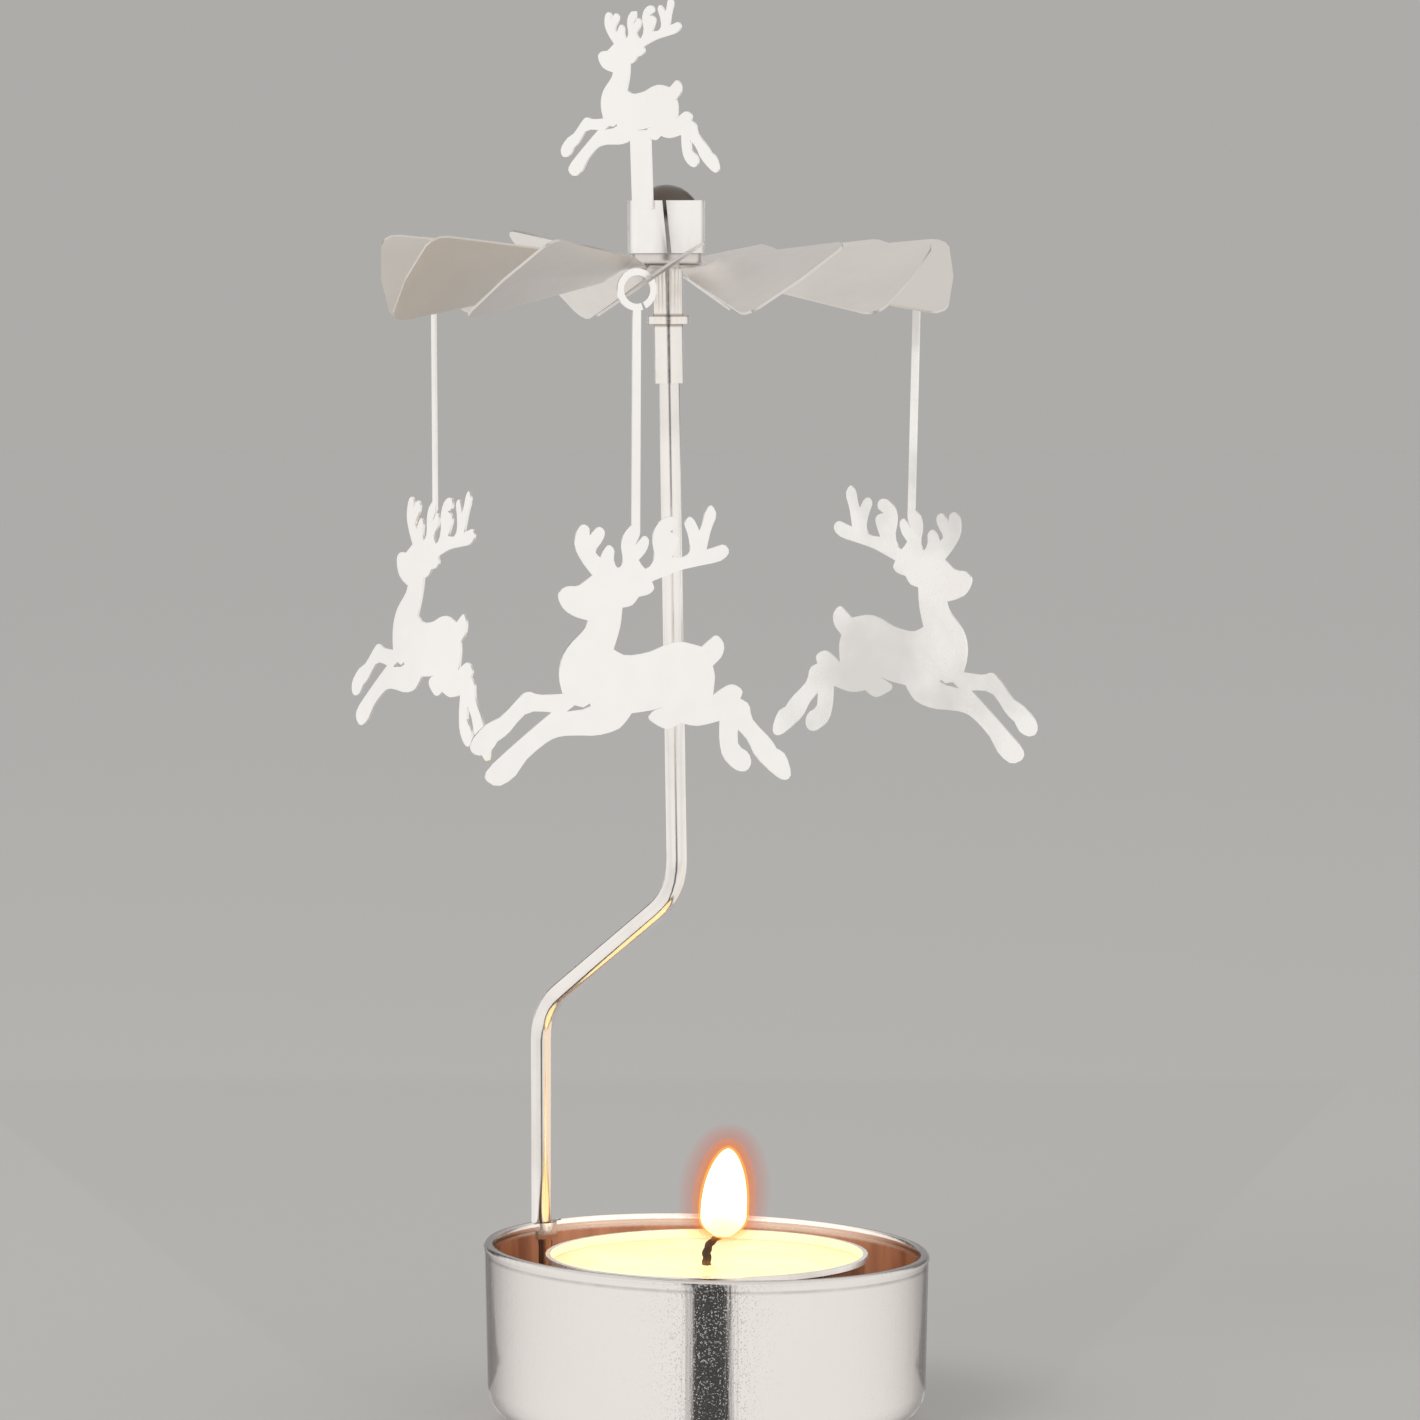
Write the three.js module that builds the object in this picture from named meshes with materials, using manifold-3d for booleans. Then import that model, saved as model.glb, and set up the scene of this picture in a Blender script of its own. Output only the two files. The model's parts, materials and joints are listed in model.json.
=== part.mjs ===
// Rotating candle holder: a stamped tealight cup, a bent wire stem, and a twelve-blade rotor that
// turns on a needle in the warm air of the flame. A leaping reindeer stands on the rotor's hub and
// three more hang from its blades by open hooks.
// Millimetres, +Z up. The origin is the centre of the cup's underside.

import * as THREE from 'three';
import { mergeVertices } from 'three/addons/utils/BufferGeometryUtils.js';
import Module from 'manifold-3d';

const wasm = await Module();
wasm.setup();

// Driving dimensions: clearances
const FIT = 0.2; // round a piece that is pushed into another
const SEAT = 0.3; // under a piece that rests on another

// Driving dimensions: candle cup
const CUP_HEIGHT = 20.9;
const CUP_BASE_RADIUS = 26.45;
const CUP_FLARE = 0.45; // of the rim beyond the base
const CUP_RIM_RADIUS = CUP_BASE_RADIUS + CUP_FLARE;
const CUP_CORNER_RADIUS = 4;
const CUP_WALL = 0.5;
const BEAD_RADIUS = 0.62; // of the rolled rim
const RIM_TILT = 0.75; // of the rim over its middle height, on the high side
const RIM_TILT_AZIMUTH = 180; // of the high side
const FLUTE_TOP_LENGTH = 2.2; // from the rim down to the strap's window
const FLUTE_DIP = 0.25; // of the flute's top under the rim
const STRAP_LENGTH = 10;
const STRAP_SLIT = 0.6;
const STRAP_ROOT = 0.7; // of the strap, past the stem's middle into the wall

// Driving dimensions: stem, which stands in a plane through the cup's centre
const STEM_AZIMUTH = 139.6;
const WIRE_RADIUS = 1.25;
const STEM_STAND_OFF = 0.35; // of the stem's middle beyond the cup's base
const STEM_FOOT_RADIUS = CUP_BASE_RADIUS + STEM_STAND_OFF;
const STEM_FOOT_Z = 1.8;
const STEM_LOWER_CORNER_Z = 47.7;
const STEM_UPPER_CORNER_Z = 63.4;
const STEM_BEND_RADIUS = 7.5;
const STEM_LEAN = 1.15; // of the upper straight, its top away from the cup's centre
const STEM_TOP_Z = 130.9;
const ROTOR_AXIS_RADIUS = 6.36; // from the cup's centre to the needle's point

// Driving dimensions: ferrule and needle
const SOCKET_DEPTH = 6.2;
const SLEEVE_WALL = 0.32;
const SLEEVE_LENGTH = 7.1;
const FLANGE_RADIUS = 2.5;
const FLANGE_THICKNESS = 1;
const NECK_RADIUS = 1.85;
const NECK_LENGTH = 7.2;
const NEEDLE_RADIUS = 0.6;
const NEEDLE_LENGTH = 13.9;
const NEEDLE_POINT_LENGTH = 2;
const NEEDLE_SEAT_DEPTH = 6;

// Driving dimensions: rotor
const SHEET = 0.3;
const HUB_RADIUS = 4.15;
const HUB_HEIGHT = 9.8; // from the disc's middle plane to the dome's top
const HUB_FILLET = 0.8;
const HUB_FLANGE_RADIUS = 6.8;
const BLADE_AZIMUTH = 27.2;
const BLADE_TIP_RADIUS = 34.4;
const BLADE_ROOT_RADIUS = 6;
const BLADE_TWISTED_RADIUS = 11; // past this the blade is flat
const BLADE_HALF_ANGLE = 13.5;
const BLADE_TWISTS = [33.5, 28, 36, 46, 38, 41, 40, 36, 34, 32, 33, 34]; // bent by hand, each its own
const BLADE_DROOP = 1.3; // of the tip's middle under the disc
const BLADE_CORNER_RADIUS = 2;
const ROTOR_LEAN = 0.45; // the rotor rests loose on the needle's point
const ROTOR_LEAN_AZIMUTH = 250; // of its low side

// Driving dimensions: hanging figures
const FIGURE_SHEET = 0.3;
const HOOK_HOLE_RADIUS = 0.8;
const HOOK_BRIDGE = 0.4; // metal between the hole and the blade's tip
const HOOK_RADIUS = 2.45;
const HOOK_BAND = 0.8;
const HOOK_GAP = 0.4;
const HOOK_GAP_ANGLE = -66; // of the hook's open end, seen with the head to the left
const HANGER_WIDTH = 1;
const HANGER_LENGTH = 27; // from the hook's centre to the antler
const FIGURE_LENGTH = 39.95; // from hoof to hoof
const FIGURE_HEIGHT = 32.3; // from the lowest hoof to the highest antler
// How each one hangs: the blade it hangs from, the hook's drop under the sheet, its turn about the
// upright, its swing about the hook, and how far its sheet is pitched and bent at the hanger's foot.
const HANGING_FIGURES = [
  { name: 'hanging_reindeer_front', blade: 8, drop: 1.13, turn: 26, swing: 0.3, pitch: 1, bend: 0 },
  { name: 'hanging_reindeer_left', blade: 4, drop: 0.8, turn: 61, swing: -0.6, pitch: 4.5, bend: 2.9 },
  { name: 'hanging_reindeer_right', blade: 0, drop: 1.6, turn: 25, swing: -1.6, pitch: -0.7, bend: 0 },
];

// Driving dimensions: top figure
const TOP_SCALE = 0.65;
const TOP_SHEET = 0.3;
const TOP_AZIMUTH = 226.8; // of the line where the figure's plane touches the band
const TOP_LEAN = 2.3; // outwards
const TOP_BELLY_RISE = 14.6; // from the disc to the figure's belly
const BAND_HEIGHT = 6.3;
const BAND_RISE = 1.6; // from the disc to the band's lower edge
const BAND_SEAM_AZIMUTH = 271;
const BAND_SEAM_WIDTH = 0.45;
const BAND_SEAM_SLANT = 0.6; // of the seam's top, clockwise from its bottom
const POST_WIDTH = 3.3;
const POST_OFFSET = -0.4; // towards the head, from the band's line of touch

// Driving dimensions: tealight
const TEALIGHT_RADIUS = 19.6;
const TEALIGHT_BASE_RADIUS = 19.05;
const TEALIGHT_HEIGHT = 19.2;
const TEALIGHT_CORNER_RADIUS = 1.5;
const FOIL = 0.3;
const FOIL_BEAD = 0.9;
const WAX_BELOW_RIM = 1.8;
const WAX_BOTTOM_RISE = 0.2;
const SUSTAINER_RADIUS = 6;
const SUSTAINER_SHEET = 0.3;
const SUSTAINER_NECK_HEIGHT = 3;
const SUSTAINER_NECK_WALL = 0.25;
const WICK_RADIUS = 0.6;
const WICK_RISE = 3.4; // over the wax
const WICK_REACH = 2.2; // of its curled end, sideways

// Facets of the round pieces
const CUP_SEGMENTS = 60;
const TEALIGHT_SEGMENTS = 48;
const HUB_SEGMENTS = 24;
const FERRULE_SEGMENTS = 24;
const WIRE_SIDES = 12;
const WICK_SIDES = 8;

const radians = THREE.MathUtils.degToRad;

// Closed bodies and booleans

function solidOf(geometry) {
  const bare = geometry.index ? geometry.toNonIndexed() : geometry.clone();
  bare.deleteAttribute('normal');
  bare.deleteAttribute('uv');
  const merged = mergeVertices(bare, 1e-4);
  return new wasm.Manifold(new wasm.Mesh({
    numProp: 3,
    vertProperties: merged.attributes.position.array,
    triVerts: new Uint32Array(merged.index.array),
  }));
}

function geometryOf(solid) {
  const mesh = solid.getMesh();
  const geometry = new THREE.BufferGeometry();
  geometry.setAttribute('position', new THREE.BufferAttribute(mesh.vertProperties, 3));
  geometry.setIndex(new THREE.BufferAttribute(mesh.triVerts, 1));
  const flat = geometry.toNonIndexed();
  flat.computeVertexNormals();
  return flat;
}

// A lathe about +Z from a profile of [radius, height], anticlockwise with the radius to the right.
function lathe(profile, segments) {
  const points = profile.map(([radius, z]) => new THREE.Vector2(radius, z));
  return new THREE.LatheGeometry(points, segments).rotateX(Math.PI / 2);
}

function arc(centreRadius, centreZ, radius, from, to, steps) {
  return Array.from({ length: steps + 1 }, (unused, i) => {
    const angle = radians(from + ((to - from) * i) / steps);
    return [centreRadius + radius * Math.cos(angle), centreZ + radius * Math.sin(angle)];
  });
}

function plate(shape, thickness, curveSegments) {
  const geometry = new THREE.ExtrudeGeometry(shape, {
    depth: thickness,
    bevelEnabled: false,
    curveSegments,
  });
  return geometry.translate(0, 0, -thickness / 2);
}

function box(width, depth, height) {
  return new THREE.BoxGeometry(width, depth, height);
}

// A cylinder on +Z from the plane z = 0 upwards.
function cylinder(radius, height, segments) {
  return new THREE.CylinderGeometry(radius, radius, height, segments)
    .rotateX(Math.PI / 2)
    .translate(0, 0, height / 2);
}

// A closed skin over rings of points that all hold the same number of points.
function loft(rings) {
  const positions = [];
  const count = rings[0].length;
  const add = (a, b, c) => positions.push(...a.toArray(), ...b.toArray(), ...c.toArray());
  for (let i = 0; i + 1 < rings.length; i += 1) {
    for (let j = 0; j < count; j += 1) {
      const next = (j + 1) % count;
      add(rings[i][j], rings[i][next], rings[i + 1][next]);
      add(rings[i][j], rings[i + 1][next], rings[i + 1][j]);
    }
  }
  const last = rings[rings.length - 1];
  for (let j = 1; j + 1 < count; j += 1) {
    add(rings[0][0], rings[0][j + 1], rings[0][j]);
    add(last[0], last[j], last[j + 1]);
  }
  const geometry = new THREE.BufferGeometry();
  geometry.setAttribute('position', new THREE.Float32BufferAttribute(positions, 3));
  return geometry;
}

// A round rod along stations of { x, z, angle } in the plane y = 0, angle being the direction's.
function rod(stations, radius, sides) {
  const rings = stations.map(({ x, z, angle }) => {
    const across = new THREE.Vector3(Math.sin(angle), 0, -Math.cos(angle));
    return Array.from({ length: sides }, (unused, j) => {
      const turn = (2 * Math.PI * j) / sides;
      return new THREE.Vector3(x, 0, z)
        .addScaledVector(across, radius * Math.cos(turn))
        .add(new THREE.Vector3(0, radius * Math.sin(turn), 0));
    });
  });
  return loft(rings);
}

function piece(name, geometry, look) {
  const material = new THREE.MeshStandardMaterial(look);
  const mesh = new THREE.Mesh(geometry, material);
  mesh.name = name;
  return mesh;
}

const CHROME = { color: 0xe2dfdb, roughness: 0.16, metalness: 1 };
const ROTOR_METAL = { color: 0xb5aea7, roughness: 0.3, metalness: 1 };
const FIGURE_METAL = { color: 0xf3f0ed, roughness: 0.25, metalness: 1 };
const STEEL = { color: 0xc8c4be, roughness: 0.3, metalness: 1 };
const FOIL_METAL = { color: 0xd6cfc4, roughness: 0.3, metalness: 1 };
const WAX = { color: 0xfff6c4, roughness: 0.5, metalness: 0 };
const CHARRED_COTTON = { color: 0x2a211b, roughness: 0.9, metalness: 0 };

// Candle cup: one stamping with a rolled rim, and a flute and strap that hold the stem's foot

function cupProfile() {
  const centreRadius = CUP_BASE_RADIUS - CUP_CORNER_RADIUS;
  const innerCorner = CUP_CORNER_RADIUS - CUP_WALL;
  return [
    [0, 0],
    ...arc(centreRadius, CUP_CORNER_RADIUS, CUP_CORNER_RADIUS, -90, 0, 4),
    ...arc(CUP_RIM_RADIUS - BEAD_RADIUS, CUP_HEIGHT - BEAD_RADIUS, BEAD_RADIUS, -40, 265, 11),
    ...arc(centreRadius, CUP_CORNER_RADIUS, innerCorner, 0, -90, 3),
    [0, CUP_WALL],
  ];
}

// The rim is a little out of level, so heights stretch towards its high side.
const rimTiltTurn = radians(RIM_TILT_AZIMUTH - STEM_AZIMUTH);

function rimRise(x, y) {
  const across = x * Math.cos(rimTiltTurn) + y * Math.sin(rimTiltTurn);
  return (RIM_TILT * across) / CUP_RIM_RADIUS;
}

function tiltRim(geometry) {
  const place = geometry.attributes.position;
  for (let i = 0; i < place.count; i += 1) {
    const share = place.getZ(i) / CUP_HEIGHT;
    place.setZ(i, place.getZ(i) + share * rimRise(place.getX(i), place.getY(i)));
  }
  return geometry;
}

// Half of a tube round the stem's foot: side -1 lies towards the cup's centre, 1 away from it.
function halfSleeve(side, bottomZ, topZ) {
  const inner = WIRE_RADIUS + FIT;
  const outer = inner + CUP_WALL;
  const height = topZ - bottomZ;
  const tube = solidOf(cylinder(outer, height, 24)).subtract(
    solidOf(cylinder(inner, height + 2, 24).translate(0, 0, -1)),
  );
  const root = side > 0 ? STRAP_ROOT : 0;
  const half = box(outer + root, 2 * outer, height + 2)
    .translate((side * (outer - root)) / 2, 0, height / 2);
  return tube.intersect(solidOf(half)).translate([STEM_FOOT_RADIUS, 0, bottomZ]);
}

function candleCup() {
  const rimZ = CUP_HEIGHT + rimRise(STEM_FOOT_RADIUS, 0);
  const windowTop = rimZ - FLUTE_TOP_LENGTH;
  const strapTop = windowTop - STRAP_SLIT;
  const strapBottom = strapTop - STRAP_LENGTH;
  const fluteBottom = STEM_FOOT_Z - SEAT;
  const bore = cylinder(WIRE_RADIUS + FIT, CUP_HEIGHT, 24)
    .translate(STEM_FOOT_RADIUS, 0, fluteBottom);
  const dip = box(4 * WIRE_RADIUS, 4 * WIRE_RADIUS, 2 * BEAD_RADIUS)
    .translate(STEM_FOOT_RADIUS, 0, rimZ - FLUTE_DIP + BEAD_RADIUS);
  return solidOf(tiltRim(lathe(cupProfile(), CUP_SEGMENTS)))
    .subtract(solidOf(bore))
    .subtract(solidOf(dip))
    .add(halfSleeve(-1, windowTop, rimZ - FLUTE_DIP))
    .add(halfSleeve(1, strapBottom, strapTop))
    .add(halfSleeve(-1, fluteBottom, strapBottom - STRAP_SLIT));
}

// Stem: one wire with two like bends, which carry it from the cup's wall to the rotor's axis. Its
// upper straight leans, and the ferrule and the needle stand on its top and lean with it.

const ferruleBottomZ = STEM_TOP_Z - SOCKET_DEPTH;
const flangeBottomZ = ferruleBottomZ + SLEEVE_LENGTH;
const flangeTopZ = flangeBottomZ + FLANGE_THICKNESS;
const neckTopZ = flangeTopZ + NECK_LENGTH;
const needleBaseZ = neckTopZ - NEEDLE_SEAT_DEPTH;
const needleTipZ = needleBaseZ + NEEDLE_LENGTH;
const discZ = needleTipZ + SEAT + SHEET - HUB_HEIGHT;

function bendStations(cornerX, cornerZ, fromAngle, toAngle, steps) {
  const turn = toAngle - fromAngle;
  const reach = STEM_BEND_RADIUS * Math.tan(Math.abs(turn) / 2);
  const side = Math.sign(turn);
  const startX = cornerX - reach * Math.cos(fromAngle);
  const startZ = cornerZ - reach * Math.sin(fromAngle);
  const centreX = startX - side * STEM_BEND_RADIUS * Math.sin(fromAngle);
  const centreZ = startZ + side * STEM_BEND_RADIUS * Math.cos(fromAngle);
  return Array.from({ length: steps + 1 }, (unused, i) => {
    const angle = fromAngle + (turn * i) / steps;
    return {
      x: centreX + side * STEM_BEND_RADIUS * Math.sin(angle),
      z: centreZ - side * STEM_BEND_RADIUS * Math.cos(angle),
      angle,
    };
  });
}

function stem() {
  const up = Math.PI / 2;
  const lean = radians(STEM_LEAN);
  const belowTip = needleTipZ - STEM_TOP_Z;
  const upperCornerX = ROTOR_AXIS_RADIUS - (needleTipZ - STEM_UPPER_CORNER_Z) * Math.tan(lean);
  const run = STEM_FOOT_RADIUS - upperCornerX;
  const slope = Math.PI - Math.atan2(STEM_UPPER_CORNER_Z - STEM_LOWER_CORNER_Z, run);
  return rod([
    { x: STEM_FOOT_RADIUS, z: STEM_FOOT_Z, angle: up },
    ...bendStations(STEM_FOOT_RADIUS, STEM_LOWER_CORNER_Z, up, slope, 6),
    ...bendStations(upperCornerX, STEM_UPPER_CORNER_Z, slope, up - lean, 6),
    {
      x: ROTOR_AXIS_RADIUS - belowTip * Math.sin(lean),
      z: needleTipZ - belowTip * Math.cos(lean),
      angle: up - lean,
    },
  ], WIRE_RADIUS, WIRE_SIDES);
}

// Ferrule and needle, at the heights that they have when the stem is upright

function ferrule() {
  const socketRadius = WIRE_RADIUS + FIT;
  const sleeveRadius = socketRadius + SLEEVE_WALL;
  const boreRadius = NEEDLE_RADIUS + FIT;
  return lathe([
    [0, STEM_TOP_Z + SEAT],
    [socketRadius, STEM_TOP_Z + SEAT],
    [socketRadius, ferruleBottomZ],
    [sleeveRadius, ferruleBottomZ],
    [sleeveRadius, flangeBottomZ],
    [FLANGE_RADIUS, flangeBottomZ],
    [FLANGE_RADIUS, flangeTopZ],
    [NECK_RADIUS, flangeTopZ],
    [NECK_RADIUS, neckTopZ],
    [boreRadius, neckTopZ],
    [boreRadius, needleBaseZ - SEAT],
    [0, needleBaseZ - SEAT],
  ], FERRULE_SEGMENTS);
}

function needle() {
  const shoulderZ = needleTipZ - NEEDLE_POINT_LENGTH;
  return lathe([
    [0, needleBaseZ],
    [NEEDLE_RADIUS, needleBaseZ],
    [NEEDLE_RADIUS, shoulderZ],
    [NEEDLE_RADIUS / 4, needleTipZ - NEEDLE_RADIUS / 4],
    [0, needleTipZ],
  ], WIRE_SIDES);
}

// Rotor: one sheet with twisted blades round a drawn dome, in its own frame at the disc's centre

const BLADE_PITCH = 360 / BLADE_TWISTS.length;
const hookHoleRadius = BLADE_TIP_RADIUS - HOOK_BRIDGE - HOOK_HOLE_RADIUS;

function bladeMiddleZ(radius) {
  const share = (radius - BLADE_ROOT_RADIUS) / (BLADE_TIP_RADIUS - BLADE_ROOT_RADIUS);
  return -BLADE_DROOP * share;
}

function twistShare(radius) {
  const share = (radius - BLADE_ROOT_RADIUS) / (BLADE_TWISTED_RADIUS - BLADE_ROOT_RADIUS);
  return THREE.MathUtils.smoothstep(share, 0, 1);
}

// The blade's end at an angle from its middle line, with a round corner at each side.
function bladeEnd(angle) {
  const cornerAngle = radians(BLADE_HALF_ANGLE) - BLADE_CORNER_RADIUS / BLADE_TIP_RADIUS;
  const past = Math.max(0, Math.abs(angle) - cornerAngle) * BLADE_TIP_RADIUS;
  const rise = Math.sqrt(Math.max(0, BLADE_CORNER_RADIUS ** 2 - past ** 2));
  return BLADE_TIP_RADIUS - BLADE_CORNER_RADIUS + rise;
}

// Places across a blade, from -1 to 1: its straight end and the steps of its two round corners.
function bladeColumns() {
  const halfWidth = radians(BLADE_HALF_ANGLE) * BLADE_TIP_RADIUS;
  const cornerStart = halfWidth - BLADE_CORNER_RADIUS;
  const rising = [0, 30, 60, 90].map((step) => (
    (cornerStart + BLADE_CORNER_RADIUS * Math.sin(radians(step))) / halfWidth
  ));
  return [...rising.map((share) => -share).reverse(), 0, ...rising];
}

function blade(fullTwist) {
  const across = bladeColumns();
  const along = [BLADE_ROOT_RADIUS, 7.2, 8.5, 9.8, BLADE_TWISTED_RADIUS];
  const sheetPoint = (radius, angle, side) => {
    const straight = radius * Math.cos(angle);
    const sideways = radius * Math.sin(angle);
    const twist = radians(fullTwist) * twistShare(straight);
    const normal = new THREE.Vector3(0, -Math.sin(twist), Math.cos(twist));
    return new THREE.Vector3(
      straight,
      sideways * Math.cos(twist),
      sideways * Math.sin(twist) + bladeMiddleZ(straight),
    ).addScaledVector(normal, (side * SHEET) / 2);
  };
  const section = (radiusAt) => {
    const angles = across.map((share) => share * radians(BLADE_HALF_ANGLE));
    const lower = angles.map((angle) => sheetPoint(radiusAt(angle), angle, -1));
    const upper = angles.map((angle) => sheetPoint(radiusAt(angle), angle, 1)).reverse();
    return [...lower, ...upper];
  };
  return stripLoft([...along.map((radius) => section(() => radius)), section(bladeEnd)]);
}

// A loft of flat sheet sections, whose first half of points is the lower face and second the upper.
function stripLoft(sections) {
  const positions = [];
  const add = (a, b, c) => positions.push(...a.toArray(), ...b.toArray(), ...c.toArray());
  const count = sections[0].length;
  for (let i = 0; i + 1 < sections.length; i += 1) {
    for (let j = 0; j < count; j += 1) {
      const next = (j + 1) % count;
      add(sections[i][j], sections[i][next], sections[i + 1][next]);
      add(sections[i][j], sections[i + 1][next], sections[i + 1][j]);
    }
  }
  const cap = (ring, flip) => {
    for (let j = 0; j + 1 < count / 2; j += 1) {
      const [a, b] = [ring[j], ring[j + 1]];
      const [c, d] = [ring[count - 2 - j], ring[count - 1 - j]];
      if (flip) {
        add(a, c, b);
        add(a, d, c);
      } else {
        add(a, b, c);
        add(a, c, d);
      }
    }
  };
  cap(sections[0], true);
  cap(sections[sections.length - 1], false);
  const geometry = new THREE.BufferGeometry();
  geometry.setAttribute('position', new THREE.Float32BufferAttribute(positions, 3));
  return geometry;
}

function hubProfile() {
  const domeZ = HUB_HEIGHT - HUB_RADIUS;
  const footRadius = HUB_RADIUS + HUB_FILLET;
  return [
    ...arc(0, domeZ, HUB_RADIUS - SHEET, 90, 0, 7),
    [HUB_RADIUS - SHEET, SHEET / 2 + HUB_FILLET],
    [footRadius, -SHEET / 2],
    [HUB_FLANGE_RADIUS, -SHEET / 2],
    [HUB_FLANGE_RADIUS, SHEET / 2],
    ...arc(footRadius, SHEET / 2 + HUB_FILLET, HUB_FILLET, 270, 180, 3),
    ...arc(0, domeZ, HUB_RADIUS, 0, 90, 7),
  ];
}

function hookHole(twist) {
  const punch = 20 * SHEET;
  return solidOf(cylinder(HOOK_HOLE_RADIUS, punch, 12).translate(0, 0, -punch / 2))
    .rotate([twist, 0, 0])
    .translate([hookHoleRadius, 0, bladeMiddleZ(hookHoleRadius)]);
}

function rotor() {
  const hooked = HANGING_FIGURES.map((figure) => figure.blade);
  let whole = solidOf(lathe(hubProfile(), HUB_SEGMENTS));
  BLADE_TWISTS.forEach((twist, i) => {
    const plain = solidOf(blade(twist));
    const cut = hooked.includes(i) ? plain.subtract(hookHole(twist)) : plain;
    whole = whole.add(cut.rotate([0, 0, BLADE_AZIMUTH + BLADE_PITCH * i]));
  });
  return whole;
}

// Leaping reindeer, cut from sheet: stretches of smooth outline between sharp corners. X runs
// towards the head and Y up, with the hanger over X = 0. It is drawn 39.95 long and 32 high.

const DRAWN_LENGTH = 39.95;
const DRAWN_HEIGHT = 32;
const HANGER_JOINT_Y = 30.1;
const FOREBODY_Y = 6.1; // of the body's underside between the forelegs and the belly

const REAR_ANTLER = [
  [[-2.1, 23.65], [-3.4, 24.15], [-5.6, 24.95], [-8.2, 25.5], [-10.7, 26.05], [-11.7, 27.05],
    [-11.1, 27.9], [-9.9, 27.6], [-8.85, 27.3]],
  [[-8.85, 27.3], [-9.35, 29.5], [-10, 31.3], [-9.35, 32.4], [-8.65, 31.7], [-8.3, 30.4], [-7.9, 29.5]],
  [[-7.9, 29.5], [-7.2, 30.75], [-6.55, 31.05], [-6.1, 30.35], [-6.6, 29], [-6.85, 27.4], [-6.1, 26.5],
    [-4.5, 26.4]],
  [[-4.5, 26.4], [-5.1, 27.6], [-5.35, 28.6], [-4.8, 29.15], [-4.05, 29.3]],
  [[-4.05, 29.3], [-5.05, 29.9], [-4.9, 30.8], [-4, 31.05], [-2.75, 30.35], [-2.1, 28.8], [-2.4, 26.5],
    [-1.35, 25.05], [-0.4, 26.1]],
];
const MIDDLE_ANTLER = [
  [[-0.4, 26.1], [-1.3, 27.1], [-1.65, 28.3], [-1.1, 28.85], [-0.5, 28.4], [0.1, 27.75]],
  [[0.1, 27.75], [-0.45, 28.9], [-0.5, HANGER_JOINT_Y]],
  [[-0.5, HANGER_JOINT_Y], [0.5, HANGER_JOINT_Y]],
  [[0.5, HANGER_JOINT_Y], [1.4, 29.25], [1.75, 27.9], [1.5, 26.1], [2.15, 25.15], [2.7, 26.1],
    [2.65, 27.2], [3.35, 27.8], [4, 27.2], [4.35, 26.35]],
];
const FRONT_ANTLER = [
  [[4.35, 26.35], [5, 27.05], [4.1, 28.35], [3.9, 29.35], [4.6, 29.85], [5.3, 29.35], [5.75, 28.85]],
  [[5.75, 28.85], [5.85, 29.75], [6.6, 30.1], [7.35, 29.35], [7.45, 27.6], [6.55, 25.9], [5.25, 24.35]],
];
const HEAD = [
  [[5.25, 24.35], [6.3, 23.6], [7.1, 23.1], [8.4, 23.05], [9.35, 22.4], [9.25, 21.4], [8.5, 20.3],
    [7.25, 19.6], [5.75, 19.2]],
];
const CHEST = [
  [[5.75, 19.2], [6.25, 18.1], [8.15, 16.2], [9, 14.4], [9.05, 12.5], [8.6, 10.85]],
];
const FORELEGS = [
  [[8.6, 10.85], [11.5, 10.75], [12.8, 11.1], [13.9, 10.6], [16.2, 8.3], [18, 7.4], [19.6, 5.8],
    [19.8, 4.6], [19, 3.9], [17.5, 4.3], [16.6, 5.5]],
  [[16.6, 5.5], [15.3, 6.4], [13, 8.7], [10, 8.75]],
  [[10, 8.75], [12, 7.2], [14.6, 5.1], [17.6, 2.5], [17.9, 1.2], [16.4, 0.4], [14.4, 1.5], [13, 3.4],
    [10.6, 5.3], [8.9, 6], [6.6, FOREBODY_Y], [4.3, FOREBODY_Y], [1.8, 6.75], [0.6, 7.9], [0.1, 8.6]],
];
const BELLY = [
  [[0.1, 8.6], [-2.2, 8.9], [-3.9, 9.3]],
  [[-3.9, 9.3], [-2.75, 8.9], [-2.1, 8.3], [-2.5, 7.6], [-4.1, 6.8], [-5.2, 7], [-6, 7.5]],
  [[-6, 7.5], [-8.2, 7.1], [-11.05, 7.7]],
];
const REAR_LEGS = [
  [[-11.05, 7.7], [-11.1, 5.5], [-11.6, 3.5], [-13, 2.1], [-14.35, 1.85], [-15.05, 2.7], [-14.7, 3.95],
    [-13.4, 4.9], [-13.3, 6.7]],
  [[-13.3, 6.7], [-14.7, 5.3], [-15.8, 3.4], [-18.2, 1.3], [-19.55, 0.8], [-20.15, 1.6], [-19.4, 3.7],
    [-18.25, 4.45]],
  [[-18.25, 4.45], [-17.4, 5.6], [-15.15, 7.8], [-14.65, 9.5], [-13.5, 10.2]],
  [[-13.5, 10.2], [-13.75, 11.15], [-12.6, 11.85], [-11.4, 11.5], [-10.05, 10.6]],
];
const BACK = [
  [[-10.05, 10.6], [-10.25, 12.7], [-9.95, 14]],
  [[-9.95, 14], [-11.1, 15.15], [-11.3, 16.5], [-10.4, 17.5], [-9.5, 17], [-8.5, 16.2]],
  [[-8.5, 16.2], [-6, 16.75], [-4, 16.4], [-2, 15.6], [0.85, 15.2], [2.5, 15.9]],
  [[2.5, 15.9], [1.75, 18.4], [1.5, 20.65]],
];
const EAR_AND_CHEEK = [
  [[1.5, 20.65], [0.3, 20.95], [-0.5, 21.9]],
  [[-0.5, 21.9], [-1.75, 22.2], [-2.4, 22.85], [-2.1, 23.65]],
];
const FORELEG_SLIT = [[8.2, 8.8], [7.2, 9.55], [6.1, 9.3], [5.2, 9.8], [5.1, 9.45], [6.1, 9.05]];

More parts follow.
